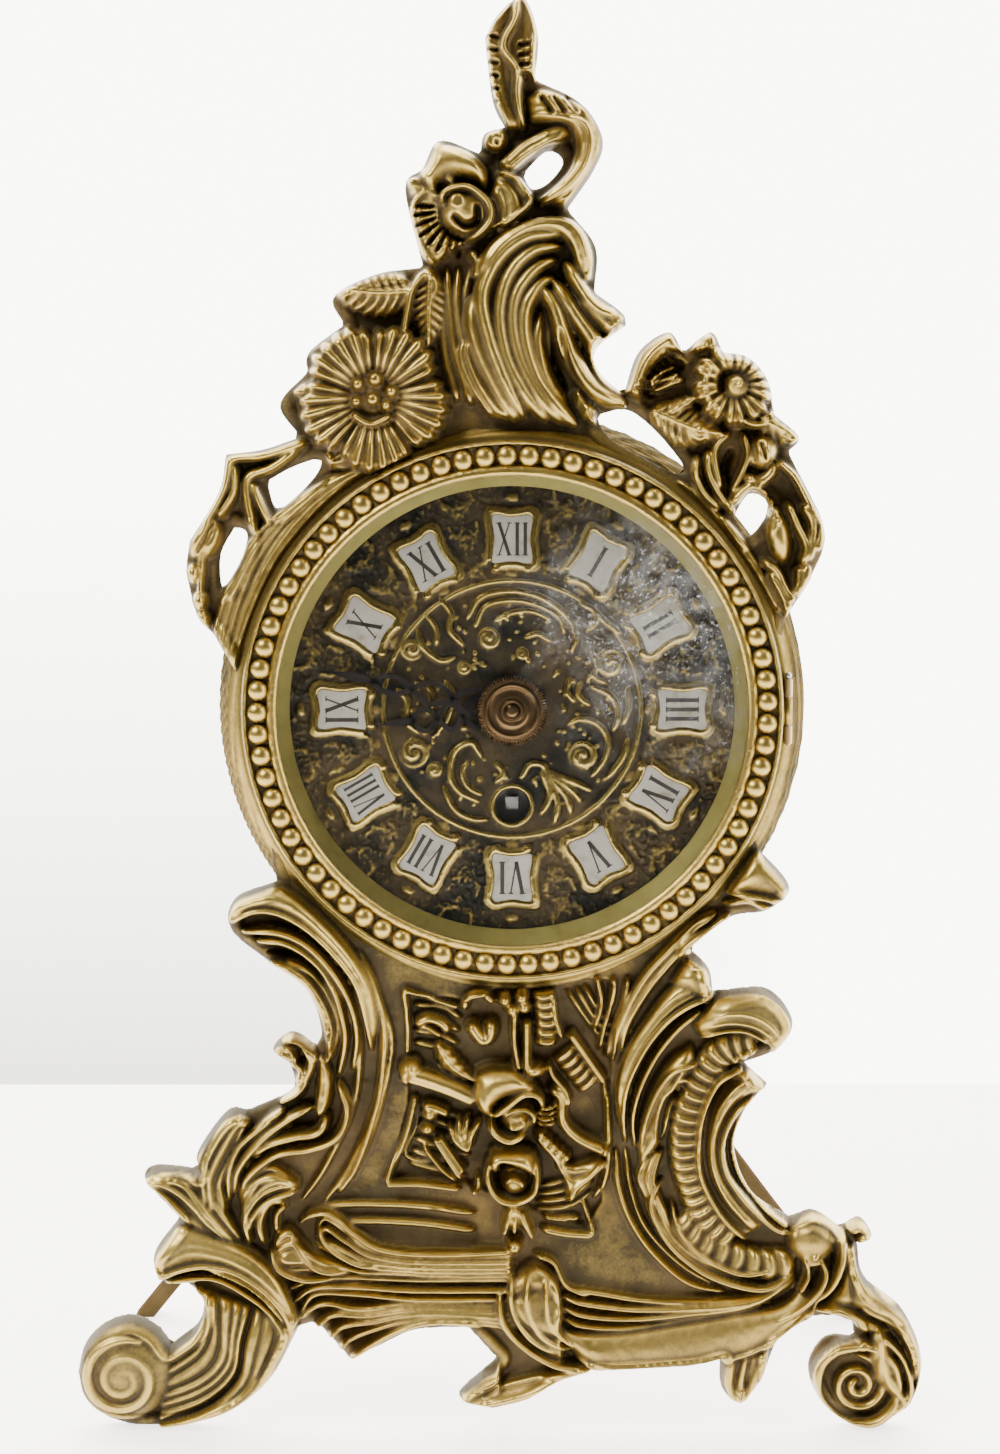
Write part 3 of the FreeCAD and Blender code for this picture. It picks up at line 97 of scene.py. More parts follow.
class Relief:
    """A height map of a worked metal face, seen from the front. Heights point to the viewer."""

    def __init__(self, x0, x1, z0, z1, pitch):
        self.pitch = pitch
        self.step_along = 0.6 * pitch
        self.step_across = 0.5 * pitch
        self.xs = np.arange(x0, x1, pitch)
        self.zs = np.arange(z0, z1, pitch)
        self.height = np.zeros((len(self.zs), len(self.xs)))
        self.cuts = np.zeros_like(self.height)

    def lay(self, x, z, h, target=None):
        """Raise the face to height h at each place, where it is lower."""
        target = self.height if target is None else target
        i = np.rint((x - self.xs[0]) / self.pitch).astype(int).ravel()
        j = np.rint((z - self.zs[0]) / self.pitch).astype(int).ravel()
        keep = (i >= 0) & (i < len(self.xs)) & (j >= 0) & (j < len(self.zs))
        np.maximum.at(target.reshape(-1), (j * len(self.xs) + i)[keep], h.ravel()[keep])

    def band(self, points, width, least=0):
        """A smooth line with its direction, and the shares along it and across a band on it."""
        line = smooth_line(points, spacing=self.step_along)
        along = np.gradient(line, axis=0)
        along /= np.hypot(*along.T)[:, None] + 1e-9
        t = np.linspace(0, 1, len(line))[:, None]
        v = np.linspace(-1, 1, max(least, int(width / self.step_across)))[None, :]
        return line, along, t, v

    def stroke(self, points, width, height, profile="round", start=0.15, end=0.15, target=None, foot=0.0):
        """A raised line, narrowing towards its ends."""
        line, along, t, v = self.band(points, width, least=5)
        size = taper(t, start, end)
        x = line[:, :1] - along[:, 1:] * v * size * width / 2
        z = line[:, 1:] + along[:, :1] * v * size * width / 2
        rise = height * (0.35 + 0.65 * size) * PROFILES[profile](v)
        self.lay(x, z, rise + foot, target)

    def groove(self, points, width, depth):
        """A soft line cut below the face."""
        self.stroke(points, width, depth, "soft", 0.2, 0.2, target=self.cuts)

    def fan(self, left, right, ribs, height, depth, start=0.1, end=0.1, crown=0.5):
        """A leaf or fold between two edge lines, fluted along its length."""
        long_edge = max(line_length(smooth_line(left)), line_length(smooth_line(right)))
        count = int(long_edge / self.step_along) + 4
        a = smooth_line(left, count)
        b = smooth_line(right, count)
        span = np.hypot(*(a - b).T).max()
        u = np.linspace(0, 1, int(span / self.step_along) + 6)[None, :]
        t = np.linspace(0, 1, count)[:, None]
        x = a[:, :1] * (1 - u) + b[:, :1] * u
        z = a[:, 1:] * (1 - u) + b[:, 1:] * u
        dome = 1 - crown * (2 * u - 1) ** 2
        edge = np.sqrt(np.minimum(1, 12 * np.minimum(u, 1 - u)))
        seed = ribs + 3.1 * a[0, 0] + 1.7 * a[0, 1]
        slow = 0.22 / ribs * np.sin(TAU * (0.7 * t + u) + seed)
        drift = slow + 0.15 / ribs * np.sin(TAU * 2 * u + 2 * seed)
        flutes = np.abs(np.sin(np.pi * ribs * (u + drift * np.sin(np.pi * u)))) ** 0.7
        size = taper(t, start, end)
        self.lay(x, z, (height * dome * edge - depth * (1 - flutes)) * (0.3 + 0.7 * size))

    def flow(self, left, right, count, width, height, start=0.25, end=0.25):
        """Ridges that run side by side from one edge line to the other."""
        a = smooth_line(left, 30)
        b = smooth_line(right, 30)
        for share in np.linspace(0, 1, count):
            line = a * (1 - share) + b * share
            self.stroke(line, width, height * (1 - 0.2 * (2 * share - 1) ** 2), start=start, end=end)

    def spiral(self, x0, z0, radius, turns, width, rise, foot, start, hand=1):
        """A ridge wound inwards over a boss; hand 1 winds to the left."""
        points = []
        for k in range(int(turns * 16) + 1):
            a = start + hand * TAU * k / 16
            size = radius * (1 - 0.93 * (k / (turns * 16)) ** 0.85)
            points.append((x0 + size * math.cos(a), z0 + size * math.sin(a)))
        self.stroke(points, width, rise, start=0.15, end=0.05, foot=foot)

    def ribbon(self, points, width, height, ribs, depth, start=0.1, end=0.1):
        """A band with ribs across it."""
        line, along, t, v = self.band(points, width)
        size = 0.4 + 0.6 * taper(t, start, end)
        x = line[:, :1] - along[:, 1:] * v * size * width / 2
        z = line[:, 1:] + along[:, :1] * v * size * width / 2
        waves = np.abs(np.sin(np.pi * (ribs * t + 0.25 * v * v)))
        self.lay(x, z, height * (1 - 0.45 * v ** 4) - depth * (1 - waves))

    def leaf(self, base, tip, width, height, bend=0.0, veins=6, depth=0.7):
        """A pointed leaf with a midrib, slanting veins and a toothed edge."""
        b = np.array(base, float)
        e = np.array(tip, float)
        side = np.array([-(e - b)[1], (e - b)[0]])
        middle = (b + e) / 2 + bend * side
        line, along, t, v = self.band([b, middle, e], width)
        half = width / 2 * np.sin(np.pi * t ** 0.8) ** 0.7 * (1 + 0.06 * np.sin(TAU * veins * t))
        x = line[:, :1] - along[:, 1:] * v * half
        z = line[:, 1:] + along[:, :1] * v * half
        slant = np.abs(np.sin(np.pi * veins * (t - 0.16 * np.abs(v))))
        rise = height * (1 - 0.55 * v * v) - depth * (1 - slant) * np.minimum(1, 4 * np.abs(v))
        midrib = 0.5 * depth * np.maximum(0, 1 - 6 * np.abs(v))
        self.lay(x, z, rise + midrib)

    def polar(self, x0, z0, radius):
        """Shares of the radius, angles and places over a round field."""
        r = np.linspace(0, 1, int(radius / self.step_along) + 3)[:, None]
        a = np.linspace(0, TAU, int(TAU * radius / self.step_along) + 8)[None, :]
        return r, a, x0 + r * radius * np.cos(a), z0 + r * radius * np.sin(a)

    def dome(self, x0, z0, radius, height, squash=1.0, turn=0.0):
        """A round or oval boss; squash shortens it across the direction turn."""
        r, a, x, z = self.polar(0, 0, radius)
        x = x * np.ones_like(z)
        c = math.cos(turn)
        s = math.sin(turn)
        z = z * squash
        rise = height * np.sqrt(1 - r * r) * np.ones_like(a)
        self.lay(x0 + c * x - s * z, z0 + s * x + c * z, rise)

    def coil(self, x0, z0, radius, turns, height, depth, start=0.0, hand=1):
        """A volute: one strand wound from the rim to a raised eye."""
        r, a, x, z = self.polar(x0, z0, radius)
        phase = r ** 0.8 * turns - hand * (a - start) / TAU
        strand = 1 - np.abs(2 * (phase % 1) - 1) ** 2.2
        rise = height * (1 - 0.35 * r) - depth * (1 - strand)
        self.lay(x, z, rise * np.minimum(1, 8 * (1 - r)) ** 0.5)

    def bloom(self, x0, z0, radius, petals, height, ribs, start, cup):
        """An open flower: ribbed petals that rise to their tips round a hollow."""
        r, a, x, z = self.polar(x0, z0, radius)
        f = (petals * (a - start) / TAU) % 1 * 2 - 1
        reach = 1 - 0.16 * np.abs(f) ** 2.5 - 0.02 * np.cos(ribs * petals * (a - start))
        rise = height * (cup + (1 - cup) * np.sin(0.5 * np.pi * np.minimum(1, r / 0.75)))
        rise = rise - 0.4 * height * np.abs(f) ** 5 * r
        rise = rise - 0.3 * height * (0.5 + 0.5 * np.cos(ribs * petals * (a - start) + 1.5 * f * f)) * r
        rise = np.where(r <= reach, rise * np.sqrt(np.maximum(0, np.minimum(1, 10 * (reach - r)))), 0)
        self.lay(x, z, rise)

    def filled(self, line):
        """True at the places inside a closed line."""
        x, z = line.T
        xn = np.roll(x, -1)
        zn = np.roll(z, -1)
        inside = np.zeros(self.height.shape, bool)
        for j, level in enumerate(self.zs):
            hit = (z <= level) != (zn <= level)
            for cross in x[hit] + (level - z[hit]) / (zn[hit] - z[hit]) * (xn[hit] - x[hit]):
                inside[j] ^= self.xs > cross
        return inside

    def panel(self, points, height):
        """A flat raised field inside straight sides."""
        area = self.filled(np.array(points, float))
        self.height[area] = np.maximum(self.height[area], height)

    def recess(self, points, depth):
        """A field sunk below the plain sheet."""
        area = self.filled(np.array(points, float))
        self.cuts[area] = np.maximum(self.cuts[area], depth)

    def distance(self, lines, reach):
        """Distance from each place to the nearest line, up to reach."""
        gap = np.full(self.height.shape, reach)
        flat = gap.reshape(-1)
        dots = np.vstack(lines)
        i = np.rint((dots[:, 0] - self.xs[0]) / self.pitch).astype(int)
        j = np.rint((dots[:, 1] - self.zs[0]) / self.pitch).astype(int)
        cells = int(reach / self.pitch) + 1
        for dj in range(-cells, cells + 1):
            for di in range(-cells, cells + 1):
                if di * di + dj * dj > cells * cells:
                    continue
                ii = np.clip(i + di, 0, len(self.xs) - 1)
                jj = np.clip(j + dj, 0, len(self.zs) - 1)
                far = np.hypot(self.xs[ii] - dots[:, 0], self.zs[jj] - dots[:, 1])
                np.minimum.at(flat, jj * len(self.xs) + ii, far)
        return gap


def blurred(field, sigma, weight=None):
    """A field smoothed by a Gaussian of sigma cells, counting only weighted places."""
    if weight is not None:
        return blurred(field * weight, sigma) / (blurred(weight.astype(float), sigma) + 1e-6)
    reach = int(3 * sigma) + 1
    kernel = np.exp(-0.5 * (np.arange(-reach, reach + 1) / sigma) ** 2)
    kernel /= kernel.sum()
    out = field
    for axis in (0, 1):
        padding = [(0, 0), (0, 0)]
        padding[axis] = (reach, reach)
        padded = np.pad(out, padding, mode="edge")
        out = np.zeros_like(field)
        for k, share in enumerate(kernel):
            window = [slice(None), slice(None)]
            window[axis] = slice(k, k + field.shape[axis])
            out += share * padded[tuple(window)]
    return out


def sampled(relief, field, x, z):
    """Values of a field between its grid places."""
    i = np.clip((x - relief.xs[0]) / relief.pitch, 0, len(relief.xs) - 1.001)
    j = np.clip((z - relief.zs[0]) / relief.pitch, 0, len(relief.zs) - 1.001)
    i0 = i.astype(int)
    j0 = j.astype(int)
    fi = i - i0
    fj = j - j0
    low = field[j0, i0] * (1 - fi) + field[j0, i0 + 1] * fi
    high = field[j0 + 1, i0] * (1 - fi) + field[j0 + 1, i0 + 1] * fi
    return low * (1 - fj) + high * fj


# ---------------------------------------------------------------- meshes
def mesh_object(name, verts, faces, smooth=True, values=None):
    """A mesh from places in millimetres; values is an optional shade for each place."""
    mesh = bpy.data.meshes.new(name)
    verts = np.asarray(verts, float) * MM
    if isinstance(faces, np.ndarray):
        mesh.vertices.add(len(verts))
        mesh.vertices.foreach_set("co", verts.astype(np.float32).ravel())
        count = faces.shape[1]
        mesh.loops.add(faces.size)
        mesh.loops.foreach_set("vertex_index", faces.astype(np.int32).ravel())
        mesh.polygons.add(len(faces))
        mesh.polygons.foreach_set("loop_start", np.arange(0, faces.size, count, dtype=np.int32))
    else:
        mesh.from_pydata([tuple(v) for v in verts], [], faces)
    mesh.update(calc_edges=True)
    mesh.validate()
    mesh.polygons.foreach_set("use_smooth", [smooth] * len(mesh.polygons))
    if values is not None:
        layer = mesh.attributes.new("patina_and_painted_shade", "FLOAT", "POINT")
        layer.data.foreach_set("value", np.asarray(values, np.float32))
    item = bpy.data.objects.new(name, mesh)
    bpy.context.scene.collection.objects.link(item)
    return item


def grid_faces(rows, cols, close_rows=False, close_cols=False):
    """Quads over a grid of places numbered row by row."""
    j = np.arange(rows if close_rows else rows - 1)[:, None]
    i = np.arange(cols if close_cols else cols - 1)[None, :]
    jn = (j + 1) % rows
    i_next = (i + 1) % cols
    quads = np.stack([j * cols + i, j * cols + i_next, jn * cols + i_next, jn * cols + i], axis=-1)
    return quads.reshape(-1, 4)


def stands_for(item, body, slot, *nodes):
    """The piece moves with a CAD body and is shown for CAD nodes; slot is not used."""
    if nodes:
        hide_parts(*nodes)
    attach(item, body)
    return item


def joined(parts):
    """One set of places, quads and shades from several (places, quads, shade)."""
    verts = []
    faces = []
    shades = []
    start = 0
    for places, quads, shade in parts:
        verts.append(places)
        faces.append(quads + start)
        shades.append(np.broadcast_to(shade, (len(places),)))
        start += len(places)
    return np.vstack(verts), np.vstack(faces), np.concatenate(shades)


def turned_mesh(profile, steps, wave=None):
    """Places and quads of a surface turned about the dial axis from (radius, y) points.
    wave(angle, share) moves the surface outwards by that many millimetres."""
    rim = np.array(profile, float)
    a = np.linspace(0, TAU, steps, endpoint=False)[:, None]
    share = np.linspace(0, 1, len(rim))[None, :]
    radius = rim[None, :, 0] + 0 * a
    y = rim[None, :, 1] + 0 * a
    if wave is not None:
        slope = np.gradient(rim, axis=0)
        slope /= np.hypot(*slope.T)[:, None] + 1e-9
        lift = wave(a, share)
        radius = radius - lift * slope[None, :, 1]
        y = y + lift * slope[None, :, 0]
    places = np.stack([DIAL_X + radius * np.cos(a), y, DIAL_Z + radius * np.sin(a)], axis=-1)
    return places.reshape(-1, 3), grid_faces(steps, len(rim), close_rows=True)


# ---------------------------------------------------------------- outline of the casting
OUTLINE = [
    # left volute foot, along the bottom to the right
    [(-87.4, 11.5), (-86.3, 6.6), (-83, 2.6), (-77.5, 0.2), (-70, -0.3), (-57, 2.8), (-48, 9.5),
     (-41.5, 21)],
    [(-41.5, 21), (-37.5, 21), (-31, 14)],
    [(-31, 14), (-25.5, 16.5), (-17.5, 20), (-6.5, 20.5)],
    [(-6.5, 20.5), (-0.5, 14)],
    [(-0.5, 14), (-8.5, 6.5), (-1.5, 4)],
    [(-1.5, 4), (6, 6), (13, 10), (20.5, 12)],
    [(20.5, 12), (38.5, 13), (45.5, 14.5)],
    [(45.5, 14.5), (46, 8), (49.5, 5), (53.5, 8.5), (57.5, 18.5)],
    [(57.5, 18.5), (63.5, 22.5), (72, 22.5), (73.5, 19)],
    # right volute foot and the right-hand side upwards
    [(73.5, 19), (67, 18), (64, 11.5), (68, 3.5), (76.5, -0.3), (84.5, 4.5), (87.3, 13.5),
     (83.5, 24), (75.5, 31), (74, 38)],
    [(74, 38), (77, 39.5), (74.5, 43), (70.5, 41)],
    [(70.5, 41), (65, 44.5), (60, 43)],
    [(60, 43), (52, 48.5), (48.5, 58), (51, 65.5), (55.5, 70.5)],
    [(55.5, 70.5), (50.5, 75)],
    [(50.5, 75), (57.5, 78), (60.5, 84), (55, 90.5), (44, 90)],
    [(44, 90), (43, 95), (39, 99)],
    [(39, 99), (47.5, 105.5), (55, 107), (59.5, 112), (53, 120)],
    [(53, 120), (55, 145), (58, 167)],
    # flower spray at the upper right
    [(58, 167), (63.5, 176), (65.8, 185.5), (58.5, 201)],
    [(58.5, 201), (60.5, 204), (55.5, 208.5)],
    [(55.5, 208.5), (54, 215.5), (50, 220), (45, 221)],
    [(45, 221), (42.5, 225), (37, 221)],
    [(37, 221), (34, 225), (28, 221), (25, 212.5)],
    # plume, crest and top leaf
    [(25, 212.5), (20, 217), (19.3, 221.5), (25.5, 226.5)],
    [(25.5, 226.5), (24.5, 229), (19, 233)],
    [(19, 233), (19.2, 242), (13.5, 249.5)],
    [(13.5, 249.5), (19, 257.5), (20.5, 263.5), (16, 270.5), (7, 275)],
    [(7, 275), (7.5, 284), (4.5, 291), (-0.5, 287.5), (-3, 283)],
    [(-3, 283), (-1.5, 271), (1, 265.5)],
    [(1, 265.5), (-3, 264.3), (-4, 260.5)],
    [(-4, 260.5), (-12, 263), (-15.5, 257.5)],
    [(-15.5, 257.5), (-19, 253.5), (-15.5, 238)],
    # leaves, daisy and bud stem at the upper left
    [(-15.5, 238), (-25, 236.5), (-33.5, 232), (-31.5, 226.5)],
    [(-31.5, 226.5), (-38.5, 221), (-39, 217)],
    [(-39, 217), (-44.5, 210.5), (-40.5, 204)],
    [(-40.5, 204), (-48, 201.5), (-55.5, 200.5)],
    [(-55.5, 200.5), (-57, 193), (-63, 183)],
    [(-63, 183), (-63.8, 177), (-61.8, 168), (-58, 163.5)],
    [(-58, 163.5), (-52, 150), (-46, 113)],
    # left shoulder and the left-hand side downwards
    [(-46, 113), (-54.5, 109.5), (-55.5, 103), (-47.5, 96)],
    [(-47.5, 96), (-40, 90.5), (-37, 82), (-38, 78.5)],
    [(-38, 78.5), (-43, 81.5), (-47, 78), (-43.5, 75)],
    [(-43.5, 75), (-43, 69.5), (-52, 65)],
    [(-52, 65), (-56.5, 65), (-62.5, 57), (-62.5, 53)],
    [(-62.5, 53), (-71.5, 53.5), (-73.5, 50.5), (-66.5, 43)],
    [(-66.5, 43), (-71.5, 36), (-70.5, 30.5), (-65, 30)],
    [(-65, 30), (-61.5, 26.5), (-62.5, 21.5), (-68, 17)],
    [(-68, 17), (-71, 20.8), (-76, 23), (-81.5, 21.6), (-85.8, 17.4), (-87.4, 11.5)],
]

PIERCINGS = [
    [(4.5, 256.5), (9.5, 261), (12.7, 259), (10, 255), (6.5, 253.5), (4.5, 256.5)],
    [(-47.5, 195), (-42, 198), (-36.5, 199.5), (-38, 195.5), (-45, 189.5), (-47.5, 195)],
    [(-54, 186), (-51.5, 184.5), (-52.5, 179.5), (-56.5, 173.5), (-57, 180), (-54, 186)],
    [(19.5, 208.5), (27, 209), (36.5, 199.5), (36, 196.5), (28, 200.5), (21.5, 204.5), (19.5, 208.5)],
    [(47.5, 188), (50.5, 192.5), (54.3, 191), (53.5, 187), (50.5, 184), (47.5, 188)],
]


def circle(radius):
    """Places round the dial axis."""
    a = np.linspace(0, TAU, CIRCLE_STEPS, endpoint=False)
    return np.column_stack([DIAL_X + radius * np.cos(a), DIAL_Z + radius * np.sin(a)])


# ---------------------------------------------------------------- relief of the casting, by area
def left_foot(r):
    r.dome(-77.3, 12.4, 10.8, 6.4)
    r.spiral(-77.6, 11.2, 8.6, 2.4, 2, 1.5, 5.2, start=1.1)
    lobe_low = [(-70.5, 31.5), (-66.5, 33.5), (-61, 34.5), (-55, 33.5), (-49, 30), (-44.5, 25),
                (-42.5, 19.5)]
    r.fan([(-71.5, 34.5), (-70.5, 38.5), (-66, 42.5), (-58.5, 40.5), (-51.5, 37.5), (-45.5, 32),
           (-41.5, 24)], lobe_low, 2, 7.2, 0.5, start=0.15, end=0.3, crown=0.35)
    r.stroke(lobe_low, 1.9, 7.4, start=0.1, end=0.2)
    r.stroke([(-69.5, 30), (-64.5, 31.5), (-58.5, 31.5), (-52.5, 28.5), (-47, 24), (-44.5, 18)], 1.6, 5.8,
             end=0.3)
    r.stroke([(-62.5, 34.5), (-54.5, 32), (-48.5, 28), (-44, 22)], 1, 7.8, start=0.3, end=0.3)
    r.fan([(-63.5, 30), (-62, 25), (-63.5, 20), (-67.5, 17), (-70.5, 14.5)],
          [(-51, 25), (-53, 18), (-54.5, 10.5), (-61, 4.5), (-70.5, 1)], 6, 4.2, 1.7, crown=0.2, end=0.2)
    r.fan([(-51, 25), (-53, 18), (-54.5, 10.5), (-61, 4.5), (-70.5, 1)],
          [(-42, 24), (-42, 16), (-48, 6.5), (-58.5, 0), (-70.5, -2)], 4, 5.2, 1.5, crown=0.3, start=0.2,
          end=0.2)
    r.stroke([(-75, -1), (-70.5, -1.5), (-62.5, 0), (-53.5, 5), (-45.5, 13.5), (-41.5, 21.5)], 2.4, 5.9,
             start=0.2, end=0.1)
    r.fan([(-49, 25), (-46.5, 21.5), (-47.5, 16), (-50.5, 8.5)],
          [(-44, 23), (-42.5, 19), (-45.5, 13.5), (-50.5, 7.5)], 4, 6.2, 1.9, start=0.2, end=0.3)


def base_left(r):
    r.fan([(-47, 38), (-46, 41), (-43.5, 42), (-40, 38), (-35, 34.5)],
          [(-45.5, 33), (-42, 32), (-38.5, 32), (-33.5, 32), (-29, 32.5)], 4, 6, 2, start=0.2, end=0.4)
    r.stroke([(-47.5, 37.5), (-45.5, 33.5), (-40.5, 31.5), (-33.5, 31.5)], 1.8, 6.2, start=0.3, end=0.4)
    r.stroke([(-43.5, 41), (-41.5, 37.5), (-37.5, 33.5), (-31, 32.5)], 1.5, 6.4, start=0.3, end=0.4)
    r.stroke([(-41.5, 42), (-39.5, 44), (-35, 44.5), (-30, 40.5), (-24.5, 37.5), (-14.5, 36.5), (3, 37)],
             1.6, 5.6, end=0.05)
    r.flow([(-38, 41), (-36, 43.5), (-32, 41), (-27, 37.5), (-17.5, 36), (3, 36)],
           [(-38.5, 37), (-35, 35), (-29.5, 33), (-21, 32.5), (-11, 32), (3, 32)], 5, 1.35, 6, start=0.15,
           end=0.05)
    r.stroke([(-37.5, 42), (-35.5, 38.5), (-30, 35), (-24, 34)], 1.6, 6.8, end=0.3)
    r.flow([(-44, 28.5), (-38.5, 31), (-31, 31.5), (-17.5, 31), (3, 31)],
           [(-41.5, 23.5), (-38, 28), (-29.5, 28), (-17.5, 27), (3, 27)], 3, 1.7, 5, start=0.2, end=0)
    r.flow([(-41.5, 23), (-36.5, 26), (-29, 25), (-17.5, 26), (3.5, 25.5)],
           [(-31, 14.5), (-28, 17), (-22, 20.5), (-15.5, 22.5), (-8, 22.5), (3.5, 21)], 5, 1.7, 5,
           start=0.15, end=0)
    r.fan([(-8.5, 7.5), (-6, 10.5), (-1, 12), (0, 13.5)], [(-7, 4.5), (-2.5, 4), (-0.5, 5), (0, 6.5)], 2,
          5.4, 1.4)
    r.fan([(-4, 8.5), (2.5, 10.5), (11.5, 12.5), (20, 13)], [(-4, 4), (0, 4), (7, 6.5), (15, 10)], 3, 5,
          1.4, end=0.3)


def base_right(r):
    r.fan([(11.5, 22.5), (15, 20.5), (24.5, 20.5), (37, 22.5), (49, 24.5), (57.5, 26), (63, 30)],
          [(15.5, 15), (24.5, 13), (34, 13.5), (44, 14.5), (52.5, 17), (61, 22), (67, 28.5)], 1, 6, 0,
          start=0.12, end=0.2, crown=0.3)
    r.flow([(12.5, 29.5), (21, 28), (32, 26.5), (45, 26.5), (54, 28), (61, 32.5)],
           [(12.5, 23.5), (16.5, 21.5), (26, 21), (38.5, 23), (50.5, 25), (61.5, 30.5)], 4, 1.7, 4.8,
           start=0.1, end=0.2)
    r.stroke([(15.5, 15), (24.5, 12.5), (34, 13), (44, 14.5), (52.5, 17), (61, 22), (67, 28.5)], 2, 5.6,
             start=0.1, end=0.2)
    r.fan([(0.5, 30), (3.5, 33), (7.5, 35), (11.5, 32), (12.5, 27.5)],
          [(5, 21), (8, 16.5), (13, 13.5), (12.5, 19), (13, 24)], 3, 7.2, 1.6, start=0.15, end=0.3)
    r.stroke([(0, 30), (0.5, 23.5), (4, 18.5), (11, 14), (18.5, 12.5)], 2.2, 6.4, start=0.2, end=0.3)
    r.stroke([(2.5, 32.5), (2.5, 26), (6, 20), (12.5, 15.5)], 2, 7.2, start=0.2, end=0.4)
    r.stroke([(6, 33), (5.5, 27.5), (8, 21), (14.5, 16.5)], 1.8, 7.8, start=0.2, end=0.4)
    r.stroke([(9.5, 32.5), (9.5, 27.5), (10.5, 22.5), (15.5, 17)], 1.6, 7.6, start=0.2, end=0.4)
    r.stroke([(7, 36), (11, 34.5), (13.5, 30), (18.5, 27.5)], 1.2, 4.6)
    r.fan([(45, 14), (45.5, 10), (48, 5.5)], [(56, 17.5), (55, 12.5), (50.5, 5.5)], 3, 5, 1.8, end=0.2)
    r.stroke([(53.5, 16.5), (54, 11.5), (54, 9)], 1.6, 5.4)


def right_foot(r):
    r.dome(64.5, 39.5, 5.4, 7.2)
    r.stroke([(60.5, 41.5), (64.5, 44), (69.5, 41.5), (70.5, 36.5), (68.5, 30.5), (64.5, 26)], 2.4, 7.2,
             start=0.2, end=0.4)
    r.coil(64.5, 36.5, 2.6, 1.3, 7.8, 1.6)
    r.stroke([(65.5, 36.5), (67, 32.5), (64.5, 28), (59, 24), (52, 21)], 2, 7, start=0.2, end=0.5)
    r.stroke([(62.5, 36.5), (63.5, 32.5), (61.5, 28.5)], 1.4, 6.4)
    r.stroke([(71.5, 41.5), (74, 42.5), (76.5, 41), (76, 38.5)], 3.2, 6.4)
    r.dome(75.5, 39.5, 1.9, 6.8)
    r.fan([(70.5, 39), (71, 34), (70, 30), (67, 26)], [(73, 38), (74, 32.5), (77.5, 28), (82, 24)], 3, 5.4,
          1.6, end=0.2)
    r.fan([(73.5, 34), (78, 28.5), (83.5, 25.5), (87, 19), (87.5, 12)],
          [(70.5, 28), (75, 24), (80.5, 21), (84, 16.5), (85, 10)], 3, 5.8, 1.7, start=0.2, end=0.2)
    r.stroke([(74.5, 32.5), (80, 27.5), (85, 24), (87, 17), (86.5, 9), (83, 3)], 2, 6.4, start=0.2, end=0.2)
    r.fan([(64, 24.5), (69.5, 24), (74, 21), (74.5, 20)], [(70, 28), (74.5, 24), (80, 21), (82, 20)], 2,
          4.6, 1.2, start=0.2, end=0.2)
    r.leaf((78, 21), (84.5, 5), 5, 6.4, bend=-0.12, veins=4)
    r.stroke([(78, 20.5), (83, 15), (84.5, 8), (80.5, 3)], 1.6, 6.2)
    ring = [(73.8 + 8.6 * math.cos(TAU * k / 12), 9.4 + 8.4 * math.sin(TAU * k / 12)) for k in range(13)]
    r.stroke(ring, 2.4, 5.8, start=0, end=0)
    r.dome(73.8, 9.2, 7.6, 2.2)
    r.spiral(73.8, 9.2, 6.4, 2.1, 2, 2.4, 1.8, start=1.6, hand=-1)


